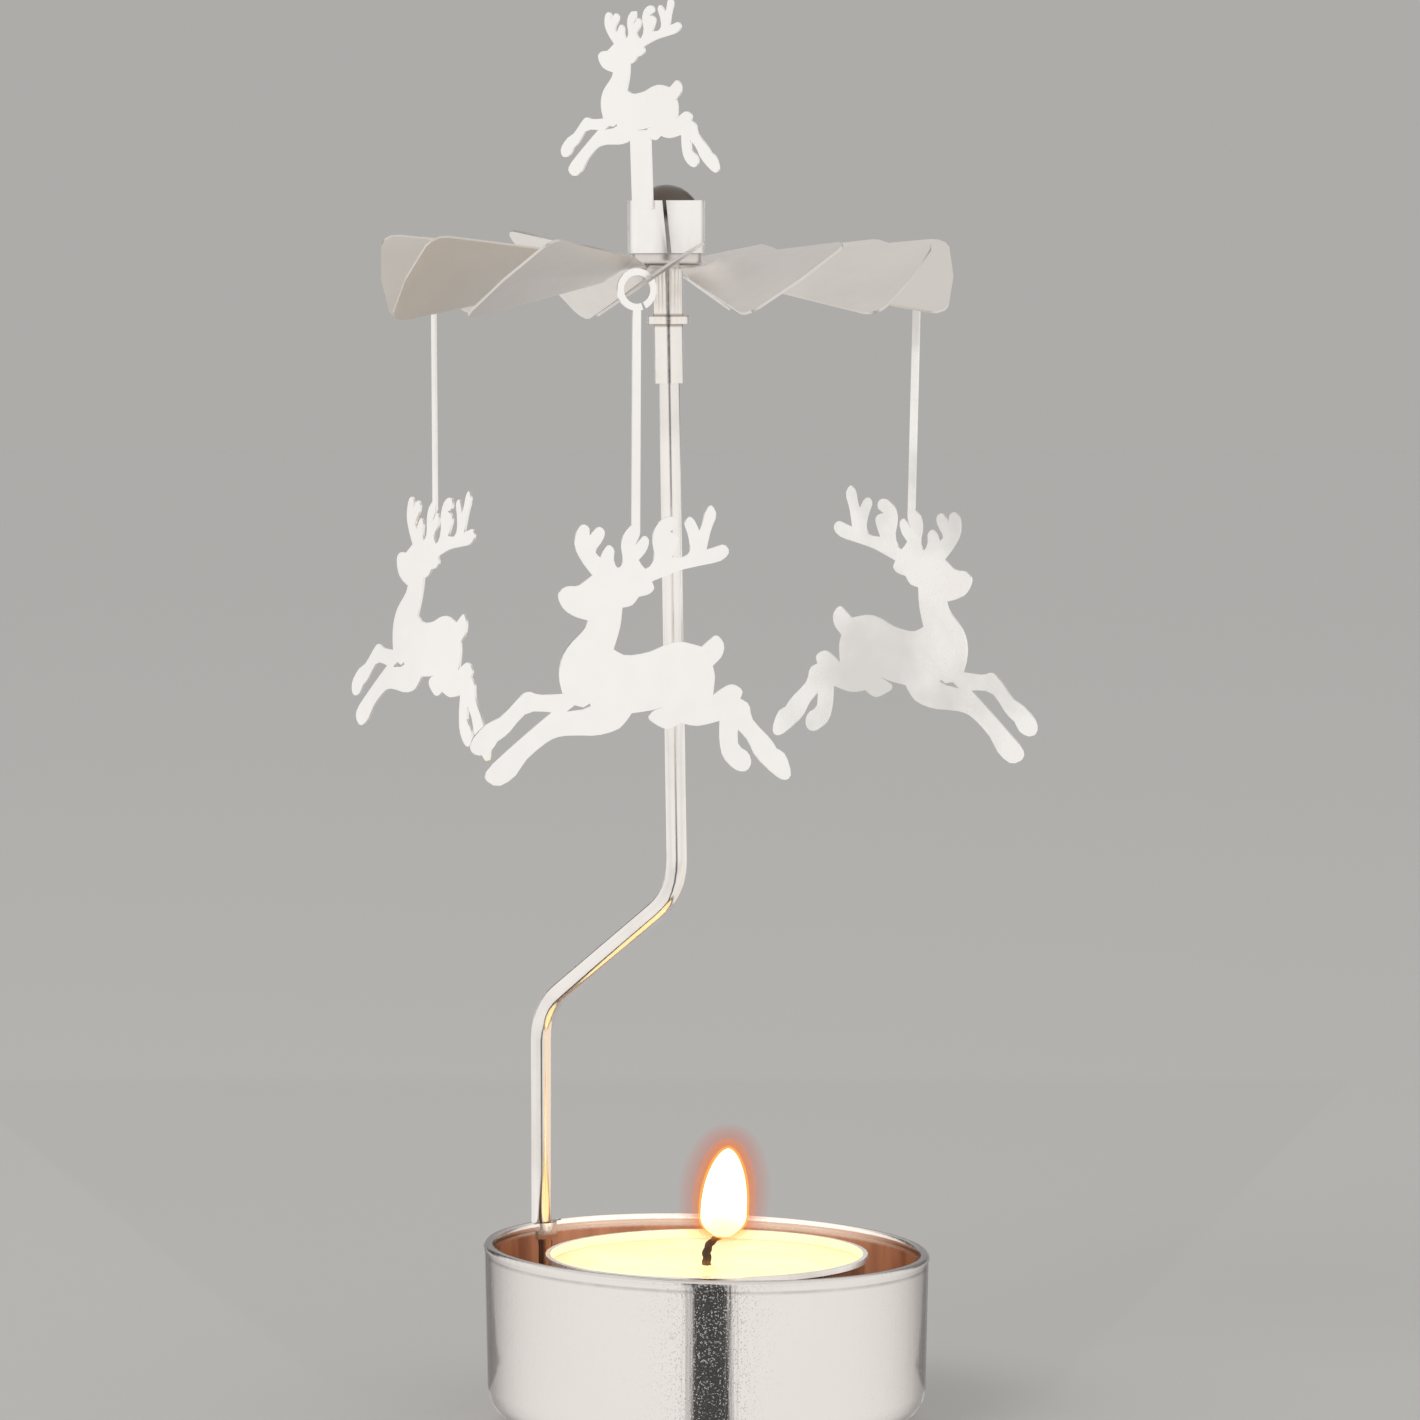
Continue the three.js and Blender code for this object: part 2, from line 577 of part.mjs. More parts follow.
function reindeerShape() {
  const stretches = [
    ...REAR_ANTLER, ...MIDDLE_ANTLER, ...FRONT_ANTLER, ...HEAD, ...CHEST, ...FORELEGS, ...BELLY,
    ...REAR_LEGS, ...BACK, ...EAR_AND_CHEEK,
  ];
  const shape = new THREE.Shape();
  shape.moveTo(...stretches[0][0]);
  for (const stretch of stretches) {
    if (stretch.length === 2) {
      shape.lineTo(...stretch[1]);
    } else {
      shape.splineThru(stretch.slice(1).map(([x, y]) => new THREE.Vector2(x, y)));
    }
  }
  const slit = new THREE.Path(FORELEG_SLIT.map(([x, y]) => new THREE.Vector2(x, y)));
  shape.holes.push(slit.closePath());
  return shape;
}

// The hook is a ring of flat band, open beside the hanger's top.
function hookShape() {
  const inner = HOOK_RADIUS - HOOK_BAND;
  const middle = (HOOK_RADIUS + inner) / 2;
  const halfGap = HOOK_GAP / 2 / middle;
  // the head lies towards +X here, so the open end is mirrored to -X
  const open = Math.PI - radians(HOOK_GAP_ANGLE);
  const shape = new THREE.Shape();
  shape.absarc(0, 0, HOOK_RADIUS, open + halfGap, open + 2 * Math.PI - halfGap, false);
  shape.absarc(0, 0, inner, open + 2 * Math.PI - halfGap, open + halfGap, true);
  return shape.closePath();
}

// A hanging figure in its own frame: X towards the head, Y up, the hook's centre at the origin.
function hangingFigure({ swing, pitch, bend }) {
  const cutout = plate(reindeerShape(), FIGURE_SHEET, 2)
    .translate(0, -HANGER_JOINT_Y, 0)
    .scale(FIGURE_LENGTH / DRAWN_LENGTH, FIGURE_HEIGHT / DRAWN_HEIGHT, 1)
    .rotateX(radians(bend))
    .rotateZ(radians(pitch))
    .translate(0, -HANGER_LENGTH, 0);
  const overlap = 1;
  const hangerTop = -(HOOK_RADIUS - HOOK_BAND / 2);
  const hangerHeight = HANGER_LENGTH + hangerTop + overlap;
  const hanger = box(HANGER_WIDTH, hangerHeight, FIGURE_SHEET)
    .translate(0, hangerTop - hangerHeight / 2, 0);
  return solidOf(cutout)
    .add(solidOf(hanger))
    .add(solidOf(plate(hookShape(), FIGURE_SHEET, 10)))
    .rotate([0, 0, swing]);
}

// Top figure in the rotor's frame: the same outline, smaller, on a post that ends in a split band

function topFigure() {
  const inner = HUB_RADIUS + FIT;
  const planeRadius = inner + TOP_SHEET / 2;
  const band = solidOf(lathe([
    [inner, BAND_RISE],
    [inner + TOP_SHEET, BAND_RISE],
    [inner + TOP_SHEET, BAND_RISE + BAND_HEIGHT],
    [inner, BAND_RISE + BAND_HEIGHT],
    [inner, BAND_RISE],
  ], HUB_SEGMENTS));
  const seamSide = (side, end) => new THREE.Vector2(
    (side * BAND_SEAM_WIDTH - end * BAND_SEAM_SLANT) / 2,
    BAND_RISE + BAND_HEIGHT / 2 + (end * BAND_HEIGHT) / 2,
  );
  const seam = new THREE.Shape([
    seamSide(-1, -1), seamSide(1, -1), seamSide(1, 1), seamSide(-1, 1),
  ]);
  const seamCut = plate(seam, 2 * inner, 1)
    .rotateX(Math.PI / 2)
    .translate(0, -inner, 0)
    .rotateZ(radians(BAND_SEAM_AZIMUTH + 90));
  const footOverlap = 1;
  const lengthScale = (TOP_SCALE * FIGURE_LENGTH) / DRAWN_LENGTH;
  const heightScale = (TOP_SCALE * FIGURE_HEIGHT) / DRAWN_HEIGHT;
  const shape = plate(reindeerShape(), TOP_SHEET, 2)
    .scale(lengthScale, heightScale, 1)
    .translate(0, TOP_BELLY_RISE - FOREBODY_Y * heightScale, 0);
  const bandTop = BAND_RISE + BAND_HEIGHT;
  const postBottom = bandTop - footOverlap;
  const postTop = TOP_BELLY_RISE + POST_WIDTH / 2;
  const post = box(POST_WIDTH, postTop - postBottom, TOP_SHEET)
    .translate(POST_OFFSET, (postTop + postBottom) / 2, 0);
  const upright = (geometry) => solidOf(geometry
    .translate(0, -bandTop, 0)
    .rotateX(-radians(TOP_LEAN))
    .translate(0, bandTop, 0)
    .rotateX(Math.PI / 2)
    .rotateZ(Math.PI)
    .translate(0, -planeRadius, 0)
    .rotateZ(radians(TOP_AZIMUTH + 90)));
  return band
    .subtract(solidOf(seamCut))
    .add(upright(post))
    .add(upright(shape));
}

// Tealight: aluminium cup, wax, wick and sustainer, on the candle cup's floor

const tealightZ = CUP_WALL + SEAT;
const tealightTopZ = tealightZ + TEALIGHT_HEIGHT;
const waxTopZ = tealightTopZ - WAX_BELOW_RIM;
const waxBottomZ = tealightZ + FOIL + WAX_BOTTOM_RISE;
const sustainerTopZ = waxBottomZ + SUSTAINER_SHEET;
const neckOuterRadius = WICK_RADIUS + FIT + SUSTAINER_NECK_WALL;

function tealightRadius(z) {
  const share = (z - tealightZ) / TEALIGHT_HEIGHT;
  return TEALIGHT_BASE_RADIUS + (TEALIGHT_RADIUS - FOIL_BEAD / 2 - TEALIGHT_BASE_RADIUS) * share;
}

function tealightCup() {
  const corner = TEALIGHT_CORNER_RADIUS;
  const innerCorner = corner - FOIL;
  const beadZ = tealightTopZ - FOIL_BEAD;
  const centre = TEALIGHT_BASE_RADIUS - corner;
  return lathe([
    [0, tealightZ],
    ...arc(centre, tealightZ + corner, corner, -90, 0, 3),
    [tealightRadius(beadZ), beadZ],
    [TEALIGHT_RADIUS, beadZ + FOIL_BEAD / 3],
    [TEALIGHT_RADIUS - FOIL_BEAD / 6, tealightTopZ],
    [tealightRadius(tealightTopZ) - FOIL, tealightTopZ],
    ...arc(centre, tealightZ + corner, innerCorner, 0, -90, 3),
    [0, tealightZ + FOIL],
  ], TEALIGHT_SEGMENTS);
}

function wax() {
  const gap = FIT / 2;
  const wallRadius = (z) => tealightRadius(z) - FOIL - gap;
  const boreRadius = WICK_RADIUS + FIT;
  const recessRadius = SUSTAINER_RADIUS + FIT;
  const recessTopZ = sustainerTopZ + FIT;
  const neckHoleRadius = neckOuterRadius + FIT;
  const neckHoleTopZ = sustainerTopZ + SUSTAINER_NECK_HEIGHT + FIT;
  const lowZ = tealightZ + TEALIGHT_CORNER_RADIUS;
  return lathe([
    [recessRadius, waxBottomZ],
    [TEALIGHT_BASE_RADIUS - TEALIGHT_CORNER_RADIUS, waxBottomZ],
    [TEALIGHT_BASE_RADIUS - FOIL - 2 * gap, lowZ],
    [wallRadius(waxTopZ), waxTopZ],
    [boreRadius, waxTopZ],
    [boreRadius, neckHoleTopZ],
    [neckHoleRadius, neckHoleTopZ],
    [neckHoleRadius, recessTopZ],
    [recessRadius, recessTopZ],
    [recessRadius, waxBottomZ],
  ], TEALIGHT_SEGMENTS);
}

function sustainer() {
  const boreRadius = WICK_RADIUS + FIT;
  return lathe([
    [boreRadius, waxBottomZ],
    [SUSTAINER_RADIUS, waxBottomZ],
    [SUSTAINER_RADIUS, sustainerTopZ],
    [neckOuterRadius, sustainerTopZ],
    [neckOuterRadius, sustainerTopZ + SUSTAINER_NECK_HEIGHT],
    [boreRadius, sustainerTopZ + SUSTAINER_NECK_HEIGHT],
    [boreRadius, waxBottomZ],
  ], FERRULE_SEGMENTS);
}

// The wick stands straight in the wax and curls over at its burnt end.
function wick() {
  const bendRadius = WICK_REACH;
  const bendZ = waxTopZ + WICK_RISE - bendRadius;
  const steps = 5;
  const curl = Array.from({ length: steps + 1 }, (unused, i) => {
    const angle = Math.PI / 2 - (radians(80) * i) / steps;
    return {
      x: bendRadius - bendRadius * Math.sin(angle),
      z: bendZ + bendRadius * Math.cos(angle),
      angle,
    };
  });
  return rod([{ x: 0, z: waxBottomZ, angle: Math.PI / 2 }, ...curl], WICK_RADIUS, WICK_SIDES);
}

// Assembly

const group = new THREE.Group();

const cupAndStem = new THREE.Group();
cupAndStem.rotation.z = radians(STEM_AZIMUTH);
cupAndStem.add(piece('candle_cup', geometryOf(candleCup()), CHROME));
cupAndStem.add(piece('stem', stem(), CHROME));
group.add(cupAndStem);

const post = new THREE.Group();
post.position.set(ROTOR_AXIS_RADIUS, 0, needleTipZ);
post.rotation.y = radians(STEM_LEAN);
post.add(piece('pivot_ferrule', ferrule().translate(0, 0, -needleTipZ), CHROME));
post.add(piece('pivot_needle', needle().translate(0, 0, -needleTipZ), STEEL));
cupAndStem.add(post);

const UP = new THREE.Vector3(0, 0, 1);
const leaning = new THREE.Group();
leaning.position.set(
  ROTOR_AXIS_RADIUS * Math.cos(radians(STEM_AZIMUTH)),
  ROTOR_AXIS_RADIUS * Math.sin(radians(STEM_AZIMUTH)),
  needleTipZ,
);
leaning.quaternion.setFromAxisAngle(
  new THREE.Vector3(0, 1, 0).applyAxisAngle(UP, radians(ROTOR_LEAN_AZIMUTH)),
  radians(ROTOR_LEAN),
);
group.add(leaning);

const turning = new THREE.Group();
turning.position.z = discZ - needleTipZ;
turning.add(piece('rotor', geometryOf(rotor()), ROTOR_METAL));
turning.add(piece('top_reindeer', geometryOf(topFigure()), FIGURE_METAL));
leaning.add(turning);
group.updateMatrixWorld(true);

// The figures hang from the leaning rotor's holes.
const hookMiddleRadius = HOOK_RADIUS - HOOK_BAND / 2;
for (const figure of HANGING_FIGURES) {
  const bladeAzimuth = BLADE_AZIMUTH + BLADE_PITCH * figure.blade;
  const atHole = new THREE.Group();
  atHole.position.copy(turning.localToWorld(new THREE.Vector3(
    hookHoleRadius * Math.cos(radians(bladeAzimuth)),
    hookHoleRadius * Math.sin(radians(bladeAzimuth)),
    bladeMiddleZ(hookHoleRadius),
  )));
  atHole.position.z -= figure.drop;
  atHole.rotation.z = radians(bladeAzimuth - 90 + figure.turn);
  const hanging = piece(figure.name, geometryOf(hangingFigure(figure)), FIGURE_METAL);
  hanging.position.x = Math.sqrt(hookMiddleRadius ** 2 - figure.drop ** 2);
  hanging.rotation.x = Math.PI / 2;
  atHole.add(hanging);
  group.add(atHole);
}

group.add(piece('tealight_cup', tealightCup(), FOIL_METAL));
group.add(piece('tealight_wax', wax(), WAX));
group.add(piece('wick_sustainer', sustainer(), STEEL));
group.add(piece('wick', wick(), CHARRED_COTTON));

export default group;
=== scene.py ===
import json
import math

import bmesh
import bpy
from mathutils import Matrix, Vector


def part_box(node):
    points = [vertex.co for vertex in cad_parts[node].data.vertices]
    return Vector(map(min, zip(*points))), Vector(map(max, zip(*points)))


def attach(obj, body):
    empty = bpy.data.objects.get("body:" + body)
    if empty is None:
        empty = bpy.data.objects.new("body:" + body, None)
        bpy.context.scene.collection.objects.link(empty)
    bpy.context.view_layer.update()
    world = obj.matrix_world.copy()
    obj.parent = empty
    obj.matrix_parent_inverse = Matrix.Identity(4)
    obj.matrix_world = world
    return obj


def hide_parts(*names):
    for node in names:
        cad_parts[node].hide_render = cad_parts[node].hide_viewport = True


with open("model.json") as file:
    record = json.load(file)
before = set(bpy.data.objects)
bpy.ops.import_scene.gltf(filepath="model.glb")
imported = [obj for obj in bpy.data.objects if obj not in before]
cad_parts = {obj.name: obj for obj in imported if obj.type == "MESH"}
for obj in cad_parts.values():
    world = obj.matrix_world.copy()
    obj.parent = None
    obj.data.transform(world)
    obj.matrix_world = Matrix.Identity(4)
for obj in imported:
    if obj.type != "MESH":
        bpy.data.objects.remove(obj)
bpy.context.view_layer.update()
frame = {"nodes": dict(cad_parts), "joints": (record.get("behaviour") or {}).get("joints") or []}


# Camera. A long lens, three quarters of a metre in front of the holder and level with
# the rotor, tilted a little down so that the cup's rim and the wax show.
MM = 0.001
CAMERA_PLACE = (0.4 * MM, -760 * MM, 138.8 * MM)
CAMERA_TILT_DOWN = math.radians(4.0)
CAMERA_LENS = 161.1
CAMERA_SENSOR = 36
CAMERA_NEAREST, CAMERA_FARTHEST = 0.05, 20


def put(name, data):
    """An object with this data, linked into the scene."""
    thing = bpy.data.objects.new(name, data)
    bpy.context.collection.objects.link(thing)
    return thing


camera_data = bpy.data.cameras.new("camera")
camera_data.lens = CAMERA_LENS
camera_data.sensor_width = CAMERA_SENSOR
camera_data.clip_start = CAMERA_NEAREST
camera_data.clip_end = CAMERA_FARTHEST
camera = put("camera", camera_data)
camera.location = CAMERA_PLACE
camera.rotation_euler = (math.pi / 2 - CAMERA_TILT_DOWN, 0, 0)
bpy.context.scene.camera = camera
bpy.context.scene.view_settings.view_transform = "Standard"


# Surround: a white tent that is open behind the camera, so that every polished post and
# wall shows one dark upright line. It has two grey strips at the back and a paler back wall.
SURROUND_STOPS = [
    # degrees to the right of the camera, seen from the holder, and brightness
    (-180, 0.75),
    (-160, 0.72),
    (-152, 0.14),
    (-140, 0.16),
    (-132, 0.98),
    (-14, 1.0),
    (-8, 0.05),
    (9, 0.05),
    (16, 0.98),
    (130, 0.94),
    (138, 0.32),
    (154, 0.3),
    (166, 0.72),
    (180, 0.75),
]
TENT_WARMTH = (1.0, 0.982, 0.962)
ROOF_BRIGHTNESS = 0.85
ROOF_RISE = (0.45, 0.8)
BACKGROUND = (0.420, 0.4115, 0.3986, 1)


def feed(tree, socket, value):
    """Links another node's output to a socket, or sets the socket to a plain value."""
    if hasattr(value, "is_linked"):
        tree.links.new(value, socket)
    elif value is not None:
        socket.default_value = value


def maths(tree, operation, first, second=None):
    node = tree.nodes.new("ShaderNodeMath")
    node.operation = operation
    for socket, value in zip(node.inputs, (first, second)):
        feed(tree, socket, value)
    return node.outputs[0]


def mixed(tree, share, first, second):
    """The first colour where share is 0, and the second where it is 1."""
    node = tree.nodes.new("ShaderNodeMix")
    node.data_type = "RGBA"
    for socket, value in zip((0, 6, 7), (share, first, second)):
        feed(tree, node.inputs[socket], value)
    return node.outputs[2]


def remapped(tree, value, from_low, from_high, to_low=0.0, to_high=1.0, smooth=False):
    node = tree.nodes.new("ShaderNodeMapRange")
    node.interpolation_type = "SMOOTHSTEP" if smooth else "LINEAR"
    for socket, number in zip(node.inputs, (value, from_low, from_high, to_low, to_high)):
        feed(tree, socket, number)
    return node.outputs[0]


def axes_of(tree, vector):
    node = tree.nodes.new("ShaderNodeSeparateXYZ")
    tree.links.new(vector, node.inputs[0])
    return node.outputs


def tent_white(brightness):
    return [brightness * part for part in TENT_WARMTH] + [1]


def brightness_ramp(tree, value, low, high, stops):
    """Brightness along a value: the first stop lies at low and the last one at high."""
    ramp = tree.nodes.new("ShaderNodeValToRGB")
    tree.links.new(remapped(tree, value, low, high), ramp.inputs[0])
    marks = ramp.color_ramp.elements
    while len(marks) < len(stops):
        marks.new(0.5)
    first, last = stops[0][0], stops[-1][0]
    for mark, (place, brightness) in zip(marks, stops):
        mark.position = (place - first) / (last - first)
        mark.color = tent_white(brightness)
    return ramp.outputs[0]


world = bpy.data.worlds.new("light tent")
bpy.context.scene.world = world
world.use_nodes = True
tent = world.node_tree
tent.nodes.clear()
tent_axes = axes_of(tent, tent.nodes.new("ShaderNodeTexCoord").outputs["Generated"])
towards_camera = maths(tent, "MULTIPLY", tent_axes[1], -1.0)
tent_bearing = maths(tent, "ARCTAN2", tent_axes[0], towards_camera)
tent_wall = brightness_ramp(tent, tent_bearing, -math.pi, math.pi, SURROUND_STOPS)
tent_roof = remapped(tent, tent_axes[2], *ROOF_RISE, smooth=True)
tent_colour = mixed(tent, tent_roof, tent_wall, tent_white(ROOF_BRIGHTNESS))
tent_seen_by = tent.nodes.new("ShaderNodeLightPath").outputs
tent_shown = mixed(tent, tent_seen_by["Is Camera Ray"], tent_colour, BACKGROUND)
tent_light = tent.nodes.new("ShaderNodeBackground")
tent.links.new(tent_shown, tent_light.inputs[0])
tent.links.new(tent_light.outputs[0], tent.nodes.new("ShaderNodeOutputWorld").inputs[0])


# Key light: one wide soft lamp on a stand, high on the left of the camera. It gives the
# holder its soft shadow, and polished metal doesn't mirror it.
KEY_PLACE = Vector((-0.75, -0.85, 1.05))
KEY_AIM = Vector((0, 0, 0.06))
KEY_WIDTH = 0.8
KEY_POWER = 5.5
KEY_COLOUR = (1.0, 0.97, 0.93)

key_data = bpy.data.lights.new("key", "AREA")
key_data.shape = "DISK"
key_data.size = KEY_WIDTH
key_data.energy = KEY_POWER
key_data.color = KEY_COLOUR
key = put("key", key_data)
key.location = KEY_PLACE
key.rotation_euler = (KEY_AIM - KEY_PLACE).to_track_quat("-Z", "Y").to_euler()
key.visible_glossy = False


# Floor: a plain pale sheet under the holder. The camera sees it plain with the holder's
# shadow, and polished metal sees it as bright as the tent, in slow steps from front to back.
FLOOR_HALF = 4.0
FLOOR_DROP = 0.2 * MM
FLOOR_COLOUR = (0.47, 0.468, 0.463, 1)
FLOOR_ROUGHNESS = 0.9
FLOOR_STOPS = [
    # millimetres behind the holder's middle, and brightness in the metal
    (-450, 1.0),
    (-230, 0.84),
    (-120, 0.93),
    (-45, 1.0),
    (-8, 0.95),
    (60, 0.93),
    (270, 0.98),
]


def level_sheet(name, corners):
    mesh = bpy.data.meshes.new(name)
    mesh.from_pydata([(x, y, 0) for x, y in corners], [], [(0, 1, 2, 3)])
    return put(name, mesh)


def new_material(name):
    """A material, its node tree and its shader."""
    material = bpy.data.materials.new(name)
    material.use_nodes = True
    tree = material.node_tree
    return material, tree, tree.nodes["Principled BSDF"]


def set_plain(node, values):
    for socket, value in values.items():
        node.inputs[socket].default_value = value


def place_in(tree, kind="Object"):
    return tree.nodes.new("ShaderNodeTexCoord").outputs[kind]


def link_all(tree, pairs):
    for source, target in pairs:
        tree.links.new(source, target)


floor = level_sheet("floor", [
    (-FLOOR_HALF, -FLOOR_HALF), (FLOOR_HALF, -FLOOR_HALF),
    (FLOOR_HALF, FLOOR_HALF), (-FLOOR_HALF, FLOOR_HALF),
])
floor.location.z = -FLOOR_DROP
floor_material, floor_tree, floor_shader = new_material("pale floor")
set_plain(floor_shader, {"Base Color": FLOOR_COLOUR, "Roughness": FLOOR_ROUGHNESS})
floor_bright = brightness_ramp(
    floor_tree, axes_of(floor_tree, place_in(floor_tree))[1],
    FLOOR_STOPS[0][0] * MM, FLOOR_STOPS[-1][0] * MM, FLOOR_STOPS,
)
floor_glow = floor_tree.nodes.new("ShaderNodeEmission")
floor_seen_by = floor_tree.nodes.new("ShaderNodeLightPath").outputs
floor_mirrored = maths(
    floor_tree, "MAXIMUM",
    floor_seen_by["Is Glossy Ray"], floor_seen_by["Is Transmission Ray"],
)
floor_mix = floor_tree.nodes.new("ShaderNodeMixShader")
link_all(floor_tree, [
    (floor_bright, floor_glow.inputs["Color"]),
    (floor_mirrored, floor_mix.inputs[0]),
    (floor_shader.outputs[0], floor_mix.inputs[1]),
    (floor_glow.outputs[0], floor_mix.inputs[2]),
    (floor_mix.outputs[0], floor_tree.nodes["Material Output"].inputs[0]),
])
floor.data.materials.append(floor_material)


# Floor cards, seen only in the polished metal: a black flag under the camera, with a grey
# wing below it, carries the tent's dark gap to the cup; a grey card lies behind the holder.
CARD_COLOUR = (0.03, 0.03, 0.032, 1)
CARD_ROUGHNESS = 0.8


def floor_card(name, back, front, brightness, height=0.0):
    """back and front are its edges: how far behind the holder, left end and right end."""
    back_y, back_left, back_right = (measure * MM for measure in back)
    front_y, front_left, front_right = (measure * MM for measure in front)
    card = level_sheet(name, [
        (back_left, back_y), (front_left, front_y), (front_right, front_y), (back_right, back_y),
    ])
    card.location.z = height * MM
    material, _, shader = new_material(name)
    set_plain(shader, {
        "Base Color": CARD_COLOUR, "Roughness": CARD_ROUGHNESS,
        "Emission Color": tent_white(1), "Emission Strength": brightness,
    })
    card.data.materials.append(material)
    for kind in ("camera", "diffuse", "transmission", "volume_scatter", "shadow"):
        setattr(card, f"visible_{kind}", False)


floor_card("black flag", back=(-30, -2.2, 3.7), front=(-760, -105, 150), brightness=0.01)
floor_card(
    "grey wing", back=(-30, -3.3, 4.3), front=(-760, -165, 185), brightness=0.6, height=-0.1,
)
floor_card(
    "grey back", back=(320, -130, 110), front=(16, -45, 42), brightness=0.47, height=-0.1,
)


# Candle cup: one deep stamping in bright plated steel, with a rolled rim, drawn straight
# down so that its wall keeps fine upright streaks. A flute and a strap hold the stem. The
# inside is painted copper-brown and glows: painted candlelight. A band just under the rim
# is painted darker: painted shade.
SHARP_EDGE = math.radians(32)
FACET_GAP = 0.002 * MM


def curved_metal_group():
    """Rounds the look of the facets that stand for curved metal, and keeps cut edges sharp."""
    group = bpy.data.node_groups.new("curved metal", "GeometryNodeTree")
    for way in ("INPUT", "OUTPUT"):
        group.interface.new_socket("Geometry", in_out=way, socket_type="NodeSocketGeometry")
    start = group.nodes.new("NodeGroupInput")
    end = group.nodes.new("NodeGroupOutput")
    joined = group.nodes.new("GeometryNodeMergeByDistance")
    plain = group.nodes.new("GeometryNodeRemoveAttribute")
    faces = group.nodes.new("GeometryNodeSetShadeSmooth")
    faces.domain = "FACE"
    edges = group.nodes.new("GeometryNodeSetShadeSmooth")
    edges.domain = "EDGE"
    turn = group.nodes.new("GeometryNodeInputMeshEdgeAngle")
    sharp = group.nodes.new("FunctionNodeCompare")
    sharp.operation = "GREATER_THAN"
    set_plain(joined, {"Distance": FACET_GAP})
    set_plain(plain, {"Name": "custom_normal"})
    set_plain(edges, {"Shade Smooth": False})
    set_plain(sharp, {1: SHARP_EDGE})
    link_all(group, [
        (start.outputs[0], joined.inputs["Geometry"]),
        (joined.outputs[0], plain.inputs["Geometry"]),
        (plain.outputs[0], faces.inputs["Geometry"]),
        (faces.outputs[0], edges.inputs["Geometry"]),
        (turn.outputs[0], sharp.inputs[0]),
        (sharp.outputs[0], edges.inputs["Selection"]),
        (edges.outputs[0], end.inputs[0]),
    ])
    return group


curved_metal = curved_metal_group()


def noise(tree, scale, detail, vector):
    node = tree.nodes.new("ShaderNodeTexNoise")
    for socket, value in (("Detail", detail), ("Scale", scale), ("Vector", vector)):
        feed(tree, node.inputs[socket], value)
    return node.outputs["Fac"]


def vector_maths(tree, operation, first, second=None):
    node = tree.nodes.new("ShaderNodeVectorMath")
    node.operation = operation
    for socket, value in zip(node.inputs, (first, second)):
        feed(tree, socket, value)
    return node.outputs["Value" if operation in ("DOT_PRODUCT", "LENGTH") else "Vector"]


PIT_SCALE = 4200
PIT_EDGE = (0.59, 0.69)
SMUDGE_EDGE = (0.42, 0.72)
STREAK_ROUGHNESS = (0.35, 0.7, -0.02, 0.04)
PLATING_INPUTS = [
    ("Clean", "Color"), ("Smudged", "Color"), ("Roughness", "Float"),
    ("Smudge Roughness", "Float"), ("Smudge Size", "Float"), ("Streak Depth", "Float"),
    ("Streak Stretch", "Vector"), ("Pit Depth", "Float"),
]
PLATING_OUTPUTS = [("Colour", "Color"), ("Roughness", "Float"), ("Height", "Float")]


def plating_group():
    """Worn plating: cloudy smudges, fine streaks along one direction, and faint pits."""
    group = bpy.data.node_groups.new("worn plating", "ShaderNodeTree")
    for way, sockets in (("INPUT", PLATING_INPUTS), ("OUTPUT", PLATING_OUTPUTS)):
        for name, kind in sockets:
            group.interface.new_socket(name, in_out=way, socket_type=f"NodeSocket{kind}")
    given = group.nodes.new("NodeGroupInput").outputs
    result = group.nodes.new("NodeGroupOutput").inputs
    place = place_in(group)

    smudge = noise(group, given["Smudge Size"], 4, place)
    smudge = remapped(group, smudge, *SMUDGE_EDGE, smooth=True)
    stretched = vector_maths(group, "MULTIPLY", place, given["Streak Stretch"])
    streak = noise(group, 1.0, 3, stretched)
    pits = remapped(group, noise(group, PIT_SCALE, 2, place), *PIT_EDGE, smooth=True)

    colour = mixed(group, smudge, given["Clean"], given["Smudged"])
    worn = maths(group, "MULTIPLY", smudge, given["Smudge Roughness"])
    fine = remapped(group, streak, *STREAK_ROUGHNESS)
    rough = maths(group, "ADD", maths(group, "ADD", given["Roughness"], worn), fine)
    streak_height = maths(group, "MULTIPLY", streak, given["Streak Depth"])
    pit_height = maths(group, "MULTIPLY", pits, given["Pit Depth"])
    link_all(group, [
        (colour, result["Colour"]), (rough, result["Roughness"]),
        (maths(group, "ADD", streak_height, pit_height), result["Height"]),
    ])
    return group


worn_plating = plating_group()


def relief(tree, shader, height, depth):
    """Raises the surface by this depth where height is 1."""
    bump = tree.nodes.new("ShaderNodeBump")
    set_plain(bump, {"Strength": 1.0, "Distance": depth})
    tree.links.new(height, bump.inputs["Height"])
    tree.links.new(bump.outputs[0], shader.inputs["Normal"])


def plated_metal(name, clean, smudged, roughness, smudge, size, streak, stretch,
                 pits=0.05, depth=0.01 * MM):
    """Metal with worn plating on it, and its node tree and shader."""
    metal, tree, shader = new_material(name)
    shader.inputs["Metallic"].default_value = 1
    wear = tree.nodes.new("ShaderNodeGroup")
    wear.node_tree = worn_plating
    set_plain(wear, {
        "Clean": clean, "Smudged": smudged, "Roughness": roughness, "Smudge Roughness": smudge,
        "Smudge Size": size, "Streak Depth": streak, "Streak Stretch": stretch,
        "Pit Depth": pits,
    })
    link_all(tree, [
        (wear.outputs["Colour"], shader.inputs["Base Color"]),
        (wear.outputs["Roughness"], shader.inputs["Roughness"]),
    ])
    relief(tree, shader, wear.outputs["Height"], depth)
    return metal, tree, shader


def recolour(tree, share, colour):
    """Lays a second colour over what already feeds the metal's base colour."""
    base = tree.nodes["Principled BSDF"].inputs["Base Color"]
    tree.links.new(mixed(tree, share, base.links[0].from_socket, colour), base)


